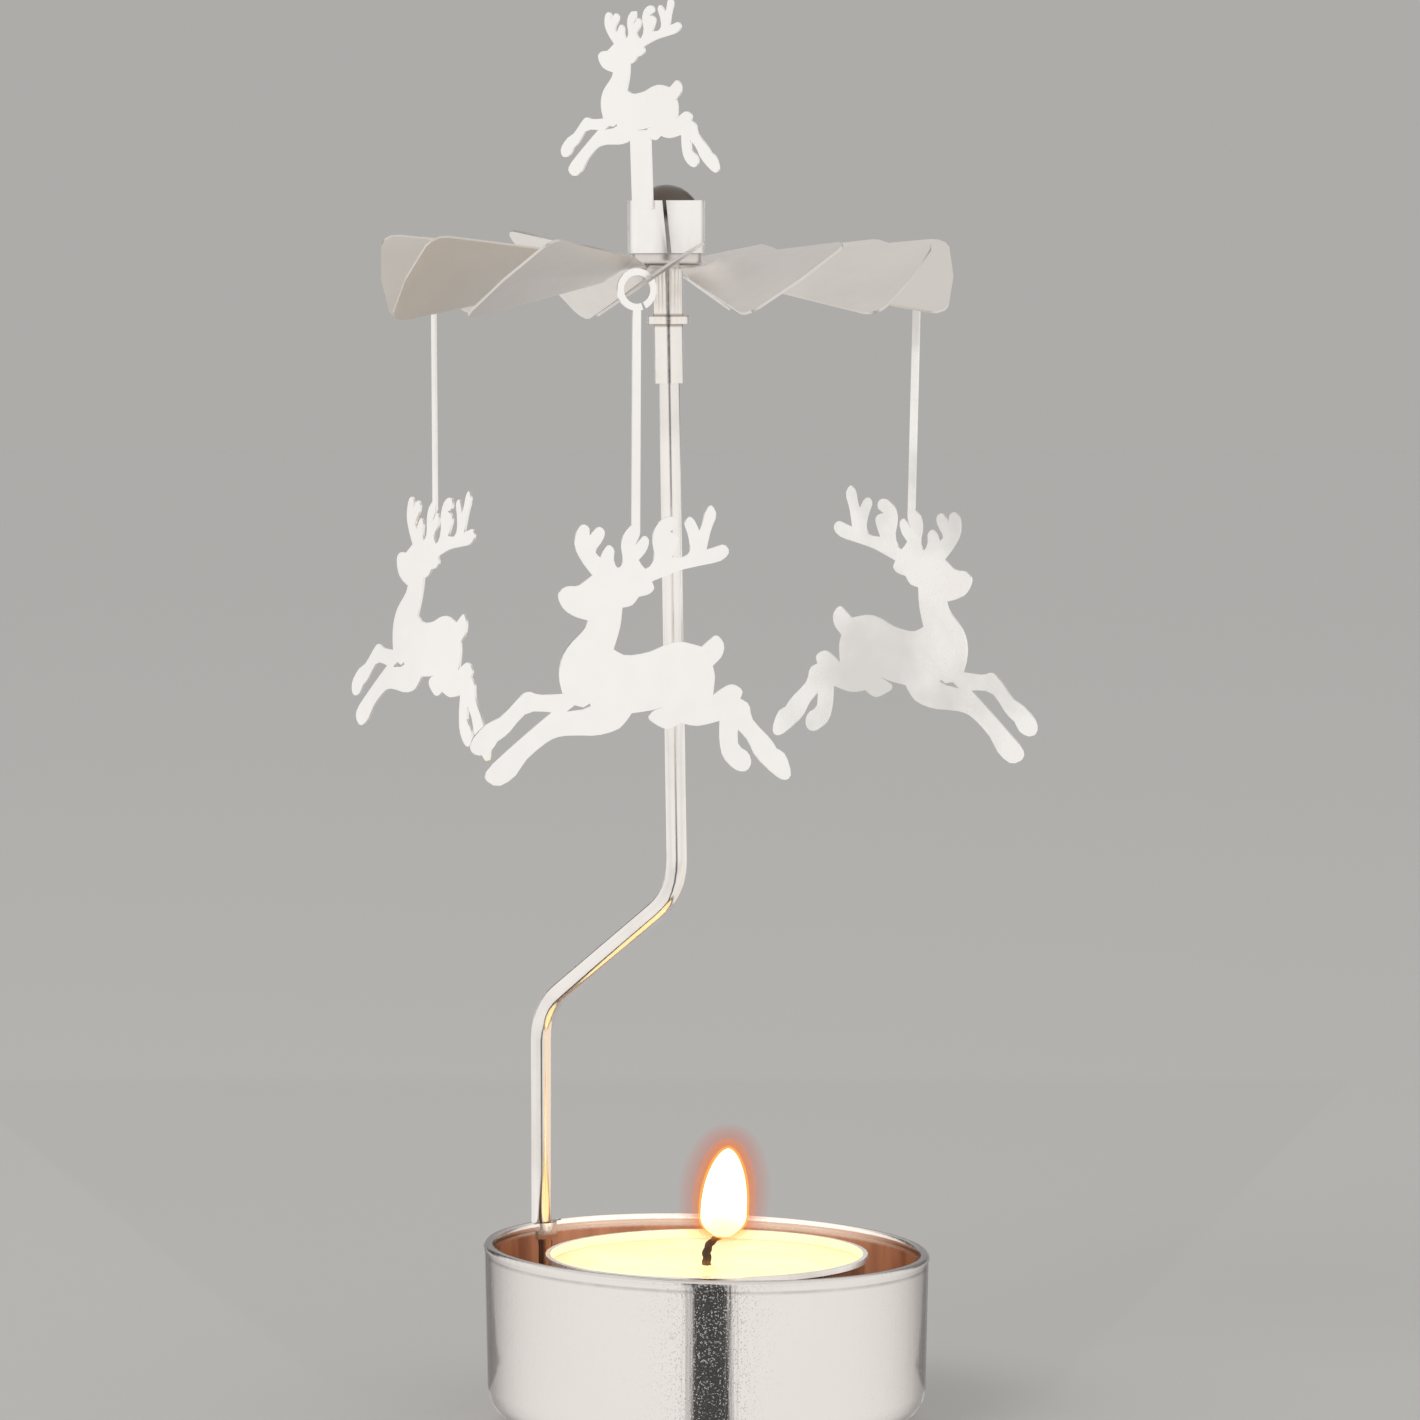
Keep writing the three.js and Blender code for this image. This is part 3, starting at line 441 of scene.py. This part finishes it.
def facing_in(tree):
    """How far a surface turns towards the upright through the cup's middle, from -1 to 1."""
    level = vector_maths(tree, "MULTIPLY", place_in(tree), (-1, -1, 0))
    inwards = vector_maths(tree, "NORMALIZE", level)
    return vector_maths(tree, "DOT_PRODUCT", inwards, place_in(tree, "Normal"))


def finish_node(name, material):
    """Gives a CAD node its one material, and its curved parts their smooth look."""
    piece = frame["nodes"][name]
    piece.data.materials.clear()
    piece.data.materials.append(material)
    piece.modifiers.new("curved metal", "NODES").node_group = curved_metal


CUP_COLOUR = (0.81, 0.775, 0.755, 1)
CUP_HAZE = (0.80, 0.77, 0.74, 1)
CUP_EDGE_TINT = (0.4, 0.39, 0.39, 1)
# The inside's copper-brown colours are painted candlelight, and the two glow colours and their
# strength are a painted candle glow.
CUP_CANDLELIGHT_PAINT = (0.52, 0.27, 0.16, 1)
CUP_CANDLELIGHT_PAINT_DARK = (0.24, 0.095, 0.05, 1)
CUP_PAINTED_GLOW_DEEP = (0.34, 0.16, 0.09, 1)
CUP_PAINTED_GLOW_LIP = (0.66, 0.53, 0.42, 1)
CUP_PAINTED_GLOW_STRENGTH = 0.8
# The darker groove colour is painted shade under the rolled rim.
CUP_GROOVE_SHADE = (0.52, 0.49, 0.46, 1)
SMOKE_ROUGHNESS = 0.2
SMOKE_METALLIC = 0.6
UNLIT = (0, 0, 0, 1)
RIM_FALL = 0.0279  # the rim is this steep, down towards the right
RIM_TILT = 0.75 * MM
RIM_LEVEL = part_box("candle_cup")[1][2] - RIM_TILT
UPRIGHT_CLOUD_STRETCH = (260, 260, 45)
CANDLELIGHT_BELOW_RIM = (1.75 * MM, 1.25 * MM)
GROOVE_SHADE_FOOT = (1.7 * MM, 1.35 * MM)
GROOVE_SHADE_TOP = (1.3 * MM, 1.1 * MM)
PAINTED_GLOW_BEHIND = (9 * MM, 23 * MM)

cup_metal, cup_tree, cup_shader = plated_metal(
    "drawn cup plating", CUP_COLOUR, CUP_HAZE, roughness=0.1, smudge=0.02, size=40,
    streak=1.2, stretch=(2600, 2600, 36), pits=0.9, depth=0.012 * MM,
)
cup_place = place_in(cup_tree)
cup_axes = axes_of(cup_tree, cup_place)
cup_level = maths(
    cup_tree, "ADD", cup_axes[2], maths(cup_tree, "MULTIPLY", cup_axes[0], RIM_FALL),
)


def under_rim(band, below, above, smooth=False):
    """Goes from one value to the other over a band that is measured down from the rim."""
    low, high = (RIM_LEVEL - depth for depth in band)
    return remapped(cup_tree, cup_level, low, high, below, above, smooth)


upright_cloud = noise(
    cup_tree, 1.0, 3, vector_maths(cup_tree, "MULTIPLY", cup_place, UPRIGHT_CLOUD_STRETCH),
)
painted_candlelight = mixed(
    cup_tree, remapped(cup_tree, upright_cloud, 0.32, 0.68, smooth=True), CUP_CANDLELIGHT_PAINT_DARK, CUP_CANDLELIGHT_PAINT,
)
cup_inwards = remapped(cup_tree, facing_in(cup_tree), 0.15, 0.6, smooth=True)
candlelight_edge = under_rim(CANDLELIGHT_BELOW_RIM, 1, 0, smooth=True)
cup_inside = maths(cup_tree, "MULTIPLY", cup_inwards, candlelight_edge)
# A patchy darker band just under the rim: painted shade.
groove_shade = maths(
    cup_tree, "MULTIPLY", under_rim(GROOVE_SHADE_FOOT, 0, 1), under_rim(GROOVE_SHADE_TOP, 1, 0),
)
patchy_groove_shade = maths(
    cup_tree, "MULTIPLY", groove_shade, remapped(cup_tree, upright_cloud, 0.3, 0.6, 0.45, 0.9),
)
recolour(cup_tree, patchy_groove_shade, CUP_GROOVE_SHADE)
# Paints the inside copper-brown: painted candlelight.
recolour(cup_tree, cup_inside, painted_candlelight)
cup_rough = maths(
    cup_tree, "ADD", cup_shader.inputs["Roughness"].links[0].from_socket,
    maths(cup_tree, "MULTIPLY", cup_inside, SMOKE_ROUGHNESS),
)
# The inside wall glows warm, most at the back: painted candlelight.
painted_glow_back = remapped(cup_tree, cup_axes[1], *PAINTED_GLOW_BEHIND, 0.04, 1, smooth=True)
cup_painted_glow = maths(cup_tree, "MULTIPLY", cup_inwards, painted_glow_back)
painted_glow_colour = mixed(cup_tree, candlelight_edge, CUP_PAINTED_GLOW_LIP, CUP_PAINTED_GLOW_DEEP)
link_all(cup_tree, [
    (cup_rough, cup_shader.inputs["Roughness"]),
    (remapped(cup_tree, cup_inside, 0, 1, 1, SMOKE_METALLIC), cup_shader.inputs["Metallic"]),
    (mixed(cup_tree, cup_painted_glow, UNLIT, painted_glow_colour), cup_shader.inputs["Emission Color"]),
])
set_plain(cup_shader, {
    "Specular Tint": CUP_EDGE_TINT, "Emission Strength": CUP_PAINTED_GLOW_STRENGTH,
})
finish_node("candle_cup", cup_metal)


# Stem: one round wire, plated after bending, with its foot in the cup's flute. Its side
# towards the flame is painted straw-gold from the foot up past the lower bend: painted flame
# light.
STEM_COLOUR = (0.88, 0.85, 0.82, 1)
STEM_HAZE = (0.8, 0.765, 0.73, 1)
# Straw-gold painted on the side towards the flame: painted flame light.
STEM_FLAME_LIGHT = (0.97, 0.79, 0.6, 1)
STEM_FLAME_LIGHT_FADE = (40 * MM, 74 * MM)

stem_metal, stem_tree, _ = plated_metal(
    "stem plating", STEM_COLOUR, STEM_HAZE, roughness=0.13, smudge=0.04, size=90,
    streak=0.5, stretch=(1800, 1800, 90), depth=0.008 * MM,
)
stem_low, stem_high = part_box("stem")
stem_middle = (stem_low + stem_high) / 2
to_flame = Vector((-stem_middle[0], -stem_middle[1], 0)).normalized()
stem_facing = vector_maths(stem_tree, "DOT_PRODUCT", place_in(stem_tree, "Normal"), to_flame)
stem_height = axes_of(stem_tree, place_in(stem_tree))[2]
flame_light_low = remapped(stem_tree, stem_height, *STEM_FLAME_LIGHT_FADE, 1, 0, smooth=True)
flame_light_side = remapped(stem_tree, stem_facing, 0.78, 0.94, smooth=True)
# Paints the flame-facing side straw-gold: painted flame light.
recolour(stem_tree, maths(stem_tree, "MULTIPLY", flame_light_side, flame_light_low), STEM_FLAME_LIGHT)
finish_node("stem", stem_metal)


# Ferrule and needle: a turned sleeve pushed on the stem's end, with the steel needle
# that the rotor turns on standing in its bore. The flange's corners are painted darker: painted
# shade.
FERRULE_COLOUR = (0.88, 0.85, 0.81, 1)
FERRULE_HAZE = (0.76, 0.72, 0.67, 1)
# The dark corner colour is painted shade.
FERRULE_CORNER_SHADE = (0.36, 0.29, 0.23, 1)
NEEDLE_COLOUR = (0.62, 0.61, 0.6, 1)
NEEDLE_HAZE = (0.5, 0.49, 0.48, 1)
SLEEVE_LENGTH = 7.1 * MM
FLANGE_HEIGHT = 1.0 * MM

ferrule_metal, ferrule_tree, _ = plated_metal(
    "turned ferrule plating", FERRULE_COLOUR, FERRULE_HAZE, roughness=0.15, smudge=0.05,
    size=160, streak=0.5, stretch=(60, 60, 2400), depth=0.008 * MM,
)
ferrule_height = axes_of(ferrule_tree, place_in(ferrule_tree))[2]
sleeve_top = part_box("pivot_ferrule")[0][2] + SLEEVE_LENGTH
# Darkens the sleeve and the flange next to their two corners: painted shade.
for corner, away in ((sleeve_top, -MM), (sleeve_top + FLANGE_HEIGHT, MM)):
    corner_shade_near = remapped(
        ferrule_tree, ferrule_height, corner + 0.08 * away, corner + 0.42 * away, 0.85, 0,
        smooth=True,
    )
    corner_shade_side = remapped(
        ferrule_tree, ferrule_height, corner - 0.12 * away, corner - 0.02 * away, smooth=True,
    )
    recolour(ferrule_tree, maths(ferrule_tree, "MULTIPLY", corner_shade_near, corner_shade_side), FERRULE_CORNER_SHADE)
finish_node("pivot_ferrule", ferrule_metal)
needle_steel, _, _ = plated_metal(
    "needle steel", NEEDLE_COLOUR, NEEDLE_HAZE, roughness=0.22, smudge=0.08, size=400,
    streak=0.5, stretch=(80, 80, 2400),
)
finish_node("pivot_needle", needle_steel)


# Rotor: twelve blades and a drawn dome pressed from one bright sheet. Above the band the
# dome is painted dark grey-brown: a painted dark reflection.
ROTOR_COLOUR = (0.73, 0.695, 0.66, 1)
ROTOR_HAZE = (0.68, 0.645, 0.61, 1)
# Dark grey-brown painted on the dome: a painted dark reflection.
DOME_DARK_REFLECTION = (0.13, 0.108, 0.092, 1)
DARK_REFLECTION_OVER_DISC = (5.0 * MM, 6.4 * MM)

rotor_metal, rotor_tree, _ = plated_metal(
    "rotor sheet plating", ROTOR_COLOUR, ROTOR_HAZE, roughness=0.3, smudge=0.05, size=45,
    streak=0.25, stretch=(600, 600, 600), pits=0, depth=0.0006 * MM,
)
spin = next(joint for joint in frame["joints"] if joint["name"] == "rotor_spin")
dome_mask = remapped(
    rotor_tree, axes_of(rotor_tree, place_in(rotor_tree))[2],
    *(spin["pos_m"][2] + rise for rise in DARK_REFLECTION_OVER_DISC), smooth=True,
)
# Paints the dome above the band dark: a painted dark reflection.
recolour(rotor_tree, dome_mask, DOME_DARK_REFLECTION)
finish_node("rotor", rotor_metal)


# Top reindeer: cut from bright sheet in one piece with its post and with the split band
# that clips round the rotor's hub.
FIGURE_COLOUR = (0.96, 0.945, 0.93, 1)
FIGURE_HAZE = (0.93, 0.91, 0.89, 1)
FIGURE_STREAKS = (500, 500, 500)
FIGURE_RELIEF = 0.001 * MM

figure_metal, _, _ = plated_metal(
    "figure sheet plating", FIGURE_COLOUR, FIGURE_HAZE, roughness=0.3, smudge=0.03, size=50,
    streak=0.2, stretch=FIGURE_STREAKS, pits=0, depth=FIGURE_RELIEF,
)
finish_node("top_reindeer", figure_metal)


# Hanging reindeer: three more from the same sheet, each cut in one piece with its hanger
# and its open hook, which goes through a hole near a blade's tip. The right one has faint
# grey patches painted on: painted reflections.
# The grey of the right figure's patches is a painted reflection.
FIGURE_REFLECTION_GREY = (0.76, 0.745, 0.73, 1)

patched_figure_metal, _, _ = plated_metal(
    "handled figure plating", FIGURE_COLOUR, FIGURE_REFLECTION_GREY, roughness=0.26, smudge=0.05,
    size=75, streak=0.2, stretch=FIGURE_STREAKS, pits=0, depth=FIGURE_RELIEF,
)
finish_node("hanging_reindeer_front", figure_metal)
finish_node("hanging_reindeer_left", figure_metal)
finish_node("hanging_reindeer_right", patched_figure_metal)


# Tealight: a thin drawn aluminium cup with a rolled lip, and the tinned foot that holds
# the wick upright. The inside of its wall is painted warm yellow and glows: a painted
# reflection of the lit wax.
FOIL_COLOUR = (0.9, 0.86, 0.82, 1)
FOIL_HAZE = (0.8, 0.75, 0.7, 1)
# Warm yellow and glow on the foil's inside: a painted reflection of the lit wax.
FOIL_PAINTED_WAX_LIGHT = (1.0, 0.93, 0.66, 1)
FOIL_PAINTED_GLOW = (1.0, 0.86, 0.5, 1)
FOIL_PAINTED_GLOW_STRENGTH = 0.45

foil_metal, foil_tree, foil_shader = plated_metal(
    "tealight foil", FOIL_COLOUR, FOIL_HAZE, roughness=0.22, smudge=0.08, size=120,
    streak=1.0, stretch=(1400, 1400, 80), pits=0.03,
)
# Paints the inside of the wall yellow and makes it glow: painted reflection of the lit wax.
foil_inside = remapped(foil_tree, facing_in(foil_tree), 0.2, 0.6, smooth=True)
recolour(foil_tree, foil_inside, FOIL_PAINTED_WAX_LIGHT)
foil_tree.links.new(
    mixed(foil_tree, foil_inside, UNLIT, FOIL_PAINTED_GLOW), foil_shader.inputs["Emission Color"],
)
foil_shader.inputs["Emission Strength"].default_value = FOIL_PAINTED_GLOW_STRENGTH
finish_node("tealight_cup", foil_metal)
finish_node("wick_sustainer", needle_steel)


# Wax: paraffin cast in the foil. Round the wick it has melted to a clear shallow pool, and
# it climbs a little up the foil and up the wick.
WAX_LOW, WAX_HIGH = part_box("tealight_wax")
WAX_FLOOR, WAX_TOP = WAX_LOW[2], WAX_HIGH[2]
WAX_WALL = (WAX_HIGH[0] - WAX_LOW[0]) / 2
WAX_CORNER = (1.6 * MM, 0.5 * MM, 1.1 * MM)
WAX_CLIMB = 0.75 * MM
WAX_CLIMB_WIDTH = 1.9 * MM
POOL_RADIUS = 0.80 * WAX_WALL
POOL_DEPTH = 0.26 * MM
SHORE_LIP = 0.02 * MM
SHORE_WIDTH = 1.1 * MM
SHORE_WANDER = 0.32 * MM
COLLAR_RADII = (1.8 * MM, 0.65 * MM)
COLLAR_CLIMB = 0.62 * MM
COLLAR_TOP = 0.38 * MM
WAX_SIDES = 144


def wax_profile():
    """Radius and height in metres, from the bottom's middle to the wick."""
    corner_wide, corner_narrow, corner_rise = WAX_CORNER
    profile = [
        (0.0, WAX_FLOOR), (WAX_WALL - corner_wide, WAX_FLOOR),
        (WAX_WALL - corner_narrow, WAX_FLOOR + corner_rise), (WAX_WALL, WAX_TOP + WAX_CLIMB),
    ]
    for step in range(1, 9):
        inwards = step / 8
        climb = WAX_CLIMB * math.exp(-3.6 * inwards)
        profile.append((WAX_WALL - WAX_CLIMB_WIDTH * inwards, WAX_TOP + climb))
    for step in range(7):
        turn = step / 6
        fall = (SHORE_LIP + POOL_DEPTH) * turn * turn * (3 - 2 * turn)
        profile.append((POOL_RADIUS + (0.5 - turn) * SHORE_WIDTH, WAX_TOP + SHORE_LIP - fall))
    outer, inner = COLLAR_RADII
    for step in range(1, 15):
        inwards = step / 15
        radius = (POOL_RADIUS - SHORE_WIDTH / 2) * (1 - inwards) + outer * inwards
        profile.append((radius, WAX_TOP - POOL_DEPTH))
    for step in range(1, 7):
        inwards = step / 6
        climb = COLLAR_CLIMB * inwards ** 2.2
        profile.append((outer + (inner - outer) * inwards, WAX_TOP + climb - POOL_DEPTH))
    profile.append((0.0, WAX_TOP + COLLAR_TOP))
    return profile


def circle_point(radius, turn, height):
    return Vector((radius * math.cos(turn), radius * math.sin(turn), height))


def skin_rings(form, rings):
    """Faces between each ring of points and the next one up."""
    for lower, upper in zip(rings, rings[1:]):
        for side in range(len(lower)):
            after = (side + 1) % len(lower)
            form.faces.new((lower[side], lower[after], upper[after], upper[side]))


def close_ends(form, rings, bottom, top):
    """Fans of faces from a point at the bottom and one at the top."""
    first, last = rings[0], rings[-1]
    for side in range(len(first)):
        after = (side + 1) % len(first)
        form.faces.new((bottom, first[after], first[side]))
        form.faces.new((top, last[side], last[after]))


def finished_mesh(form, name, flat=()):
    for face in form.faces:
        face.smooth = face not in flat
    mesh = bpy.data.meshes.new(name)
    form.to_mesh(mesh)
    form.free()
    return mesh


def wax_mesh():
    form = bmesh.new()
    profile = wax_profile()
    rings = []
    for radius, height in profile[1:-1]:
        near_shore = math.exp(-((radius - POOL_RADIUS) / (1.3 * MM)) ** 2)
        ring = []
        for side in range(WAX_SIDES):
            turn = math.tau * side / WAX_SIDES
            wander = math.sin(3 * turn + 0.7) + 0.6 * math.sin(5 * turn + 2.1)
            wander += 0.35 * math.sin(11 * turn)
            reach = radius + SHORE_WANDER * wander * near_shore
            ring.append(form.verts.new(circle_point(reach, turn, height)))
        rings.append(ring)
    bottom = form.verts.new((0, 0, profile[0][1]))
    top = form.verts.new((0, 0, profile[-1][1]))
    skin_rings(form, rings)
    close_ends(form, rings, bottom, top)
    return finished_mesh(form, "wax")


WAX_SET = ((0.93, 0.85, 0.52, 1), (0.97, 0.9, 0.6, 1))
WAX_MELTED = ((0.93, 0.83, 0.42, 1), (0.97, 0.88, 0.5, 1))
# The wax's glow is painted light from the flame, brightest near the wick.
WAX_PAINTED_LIGHT_NEAR, WAX_PAINTED_LIGHT_FAR = (1.0, 0.84, 0.42, 1), (0.85, 0.7, 0.3, 1)
WAX_PAINTED_LIGHT_STRENGTH = 0.32
WAX_ROUGHNESS, POOL_ROUGHNESS = 0.42, 0.08
GRAIN_RELIEF = 0.012 * MM

wax_material, wax_tree, wax_shader = new_material("lit paraffin")
wax_place = place_in(wax_tree)
wax_radius = vector_maths(
    wax_tree, "LENGTH", vector_maths(wax_tree, "MULTIPLY", wax_place, (1, 1, 0)),
)
wax_cloud = noise(wax_tree, 160, 4, wax_place)
wax_grain = noise(wax_tree, 1500, 3, wax_place)
wax_pool = remapped(
    wax_tree, wax_radius, POOL_RADIUS - 0.8 * MM, POOL_RADIUS + 0.6 * MM, 1, 0, smooth=True,
)
wax_cloudy = remapped(wax_tree, wax_cloud, 0.35, 0.65, smooth=True)
pool_cloudy = remapped(wax_tree, wax_cloud, 0.3, 0.7, smooth=True)
wax_colour = mixed(
    wax_tree, wax_pool,
    mixed(wax_tree, wax_cloudy, *WAX_SET), mixed(wax_tree, pool_cloudy, *WAX_MELTED),
)
# Painted flame light in the wax, fading away from the wick.
wax_light_falloff = remapped(wax_tree, wax_radius, 1 * MM, 18 * MM, smooth=True)
wax_painted_light = mixed(wax_tree, wax_light_falloff, WAX_PAINTED_LIGHT_NEAR, WAX_PAINTED_LIGHT_FAR)
wax_rough = remapped(wax_tree, wax_pool, 0, 1, WAX_ROUGHNESS, POOL_ROUGHNESS)
link_all(wax_tree, [
    (wax_colour, wax_shader.inputs["Base Color"]),
    (wax_painted_light, wax_shader.inputs["Emission Color"]),
    (wax_rough, wax_shader.inputs["Roughness"]),
])
wax_shader.inputs["Emission Strength"].default_value = WAX_PAINTED_LIGHT_STRENGTH
grain_share = remapped(wax_tree, wax_pool, 0, 1, 1, 0.05)
relief(wax_tree, wax_shader, maths(wax_tree, "MULTIPLY", wax_grain, grain_share), GRAIN_RELIEF)
wax_body = put("wax", wax_mesh())
wax_body.data.materials.append(wax_material)
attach(wax_body, "tealight")
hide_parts("tealight_wax")


# Wick: three cotton strands twisted together, charred, and curled over at the burnt end
# that stands in the flame.
WICK_LOW, WICK_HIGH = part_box("wick")
WICK_RADIUS = (WICK_HIGH[1] - WICK_LOW[1]) / 2
WICK_CURL = 2.2 * MM
WICK_CURL_FOOT = WICK_HIGH[2] - WICK_CURL - 0.1 * MM
WICK_STRAIGHT = WICK_CURL_FOOT - WICK_LOW[2]
WICK_LENGTH = WICK_STRAIGHT + WICK_CURL * math.radians(78)
WICK_BURNT_FROM = 0.86
STRAND_LAY = 3.4 * MM
STRAND_DEPTH = 0.14
WICK_STATIONS = 110
WICK_SIDES = 24


def wick_station(along):
    """Middle of the wick and its direction's angle, at a length from the bottom."""
    if along < WICK_STRAIGHT:
        return Vector((0, 0, WICK_LOW[2] + along)), math.pi / 2
    turn = (along - WICK_STRAIGHT) / WICK_CURL
    place = (WICK_CURL * (1 - math.cos(turn)), 0, WICK_CURL_FOOT + WICK_CURL * math.sin(turn))
    return Vector(place), math.pi / 2 - turn


def wick_mesh():
    form = bmesh.new()
    rings = []
    for step in range(WICK_STATIONS + 1):
        along = WICK_LENGTH * step / WICK_STATIONS
        middle, angle = wick_station(along)
        across = Vector((math.sin(angle), 0, -math.cos(angle)))
        lay = math.tau * along / STRAND_LAY
        burnt = max(0.0, (along / WICK_LENGTH - WICK_BURNT_FROM) / (1 - WICK_BURNT_FROM))
        ring = []
        for side in range(WICK_SIDES):
            turn = math.tau * side / WICK_SIDES
            lobes = 1 - STRAND_DEPTH + STRAND_DEPTH * math.cos(3 * (turn - lay))
            frayed = 1 - 0.35 * burnt + 0.09 * burnt * math.sin(5 * turn + 40 * burnt)
            reach = WICK_RADIUS * lobes * frayed
            offset = across * (reach * math.cos(turn)) + Vector((0, reach * math.sin(turn), 0))
            ring.append(form.verts.new(middle + offset))
        rings.append(ring)
    skin_rings(form, rings)
    ends = [form.faces.new(list(reversed(rings[0]))), form.faces.new(rings[-1])]
    return finished_mesh(form, "wick strands", flat=ends)


WICK_WAXED = ((0.11, 0.05, 0.022, 1), (0.3, 0.16, 0.08, 1))
WICK_CHARRED = ((0.02, 0.014, 0.011, 1), (0.1, 0.06, 0.04, 1))
WICK_CHAR_RISE = (0.2 * MM, 1.6 * MM)
WICK_ROUGHNESS = 0.9
FIBRE_STRETCH = (5200, 5200, 1300)
FIBRE_RELIEF = 0.05 * MM
EMBER_COLOUR = (1.0, 0.26, 0.05, 1)
EMBER_REACH = (1.25 * MM, 1.9 * MM)
EMBER_STRENGTH = 1.2

wick_material, wick_tree, wick_shader = new_material("charred wick")
wick_place = place_in(wick_tree)
wick_axes = axes_of(wick_tree, wick_place)
wick_fibre = noise(
    wick_tree, 1.0, 4, vector_maths(wick_tree, "MULTIPLY", wick_place, FIBRE_STRETCH),
)
wick_char = remapped(
    wick_tree, wick_axes[2], *(WAX_TOP + rise for rise in WICK_CHAR_RISE), smooth=True,
)
wick_colour = mixed(
    wick_tree, wick_char,
    mixed(wick_tree, wick_fibre, *WICK_WAXED), mixed(wick_tree, wick_fibre, *WICK_CHARRED),
)
ember = remapped(wick_tree, wick_axes[0], *EMBER_REACH, smooth=True)
link_all(wick_tree, [
    (wick_colour, wick_shader.inputs["Base Color"]),
    (mixed(wick_tree, ember, UNLIT, EMBER_COLOUR), wick_shader.inputs["Emission Color"]),
])
set_plain(wick_shader, {"Roughness": WICK_ROUGHNESS, "Emission Strength": EMBER_STRENGTH})
relief(wick_tree, wick_shader, wick_fibre, FIBRE_RELIEF)
wick_body = put("wick_strands", wick_mesh())
wick_body.data.materials.append(wick_material)
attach(wick_body, "tealight")
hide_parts("wick")


# Flame: the white-hot core over the wick, in a thin yellow skin and two wider orange and
# red glows that fade at their edges. A small warm lamp in it lights the wax and the metal.
FLAME_FOOT = Vector((1.95 * MM, 0, 22.1 * MM))
FLAME_HEIGHT = 10.6 * MM
FLAME_RADIUS = 2.75 * MM
FLAME_LEAN = 0.65 * MM
FLAME_STEPS = 44
FLAME_SIDES = 48
SHOULDER_FROM = 0.33
FOOT_UP_TO = 0.22
FLAME_LAYERS = [
    # name, growth in millimetres, colour at the foot and above, strength, alpha, edge fade
    ("flame_core", 0, (0.72, 0.6, 0.3, 1), (1.0, 0.93, 0.78, 1), 6.0, 1.0, 0),
    ("flame_skin", 0.3, (1.0, 0.62, 0.14, 1), (1.0, 0.55, 0.1, 1), 1.6, 0.45, 0),
    ("flame_glow", 1.3, (1.0, 0.3, 0.04, 1), (1.0, 0.3, 0.04, 1), 1.1, 0.42, 1.3),
    ("flame_haze", 3.1, (0.8, 0.13, 0.02, 1), (0.8, 0.13, 0.02, 1), 0.8, 0.36, 2.2),
]


def flame_girth(rise):
    """Share of the flame's radius at a share of its height: a round top on straight sides."""
    shoulder = max(0.0, (rise - SHOULDER_FROM) / (1 - SHOULDER_FROM))
    foot = max(0.0, 1 - rise / FOOT_UP_TO)
    return max(0.0, 1 - shoulder ** 1.9) ** 0.58 * (1 - 0.75 * foot * foot) ** 0.8


def flame_mesh(name, grow):
    form = bmesh.new()
    rings = []
    for step in range(1, FLAME_STEPS):
        turn = math.pi * step / FLAME_STEPS
        rise = (1 - math.cos(turn)) / 2
        radius = FLAME_RADIUS * flame_girth(rise) + grow * math.sin(turn) ** 0.7
        height = FLAME_HEIGHT * rise + grow * (1.5 * rise - 0.5)
        middle = FLAME_FOOT + Vector((FLAME_LEAN * rise ** 1.5, 0, 0))
        rings.append([
            form.verts.new(middle + circle_point(radius, math.tau * side / FLAME_SIDES, height))
            for side in range(FLAME_SIDES)
        ])
    foot = form.verts.new(FLAME_FOOT - Vector((0, 0, 0.5 * grow)))
    tip = form.verts.new(FLAME_FOOT + Vector((FLAME_LEAN, 0, FLAME_HEIGHT + grow)))
    skin_rings(form, rings)
    close_ends(form, rings, foot, tip)
    return finished_mesh(form, name)


def flame_material(name, foot, above, strength, alpha, fade):
    material, tree, shader = new_material(name)
    set_plain(shader, {
        "Base Color": UNLIT, "Roughness": 1, "Specular IOR Level": 0,
        "Emission Strength": strength, "Alpha": alpha,
    })
    rise = remapped(
        tree, axes_of(tree, place_in(tree))[2],
        FLAME_FOOT.z, FLAME_FOOT.z + 0.35 * FLAME_HEIGHT, smooth=True,
    )
    tree.links.new(mixed(tree, rise, foot, above), shader.inputs["Emission Color"])
    if fade:
        edge = tree.nodes.new("ShaderNodeLayerWeight")
        edge.inputs["Blend"].default_value = 0.5
        middle = maths(tree, "SUBTRACT", 1.0, edge.outputs["Facing"])
        soft = maths(tree, "MULTIPLY", maths(tree, "POWER", middle, fade), alpha)
        tree.links.new(soft, shader.inputs["Alpha"])
    return material


for name, growth, foot, above, strength, alpha, fade in FLAME_LAYERS:
    layer = put(name, flame_mesh(name, growth * MM))
    layer.data.materials.append(
        flame_material(name.replace("_", " "), foot, above, strength, alpha, fade)
    )
    layer.visible_shadow = False
    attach(layer, "tealight")

FLAME_LIGHT_POWER = 0.0014
FLAME_LIGHT_COLOUR = (1.0, 0.6, 0.26)
FLAME_LIGHT_RADIUS = 2.6 * MM

flame_light_data = bpy.data.lights.new("flame light", "POINT")
flame_light_data.energy = FLAME_LIGHT_POWER
flame_light_data.color = FLAME_LIGHT_COLOUR
flame_light_data.shadow_soft_size = FLAME_LIGHT_RADIUS
flame_light = put("flame light", flame_light_data)
flame_light.location = FLAME_FOOT + Vector((0, 0, 0.5 * FLAME_HEIGHT))
flame_light.visible_glossy = False
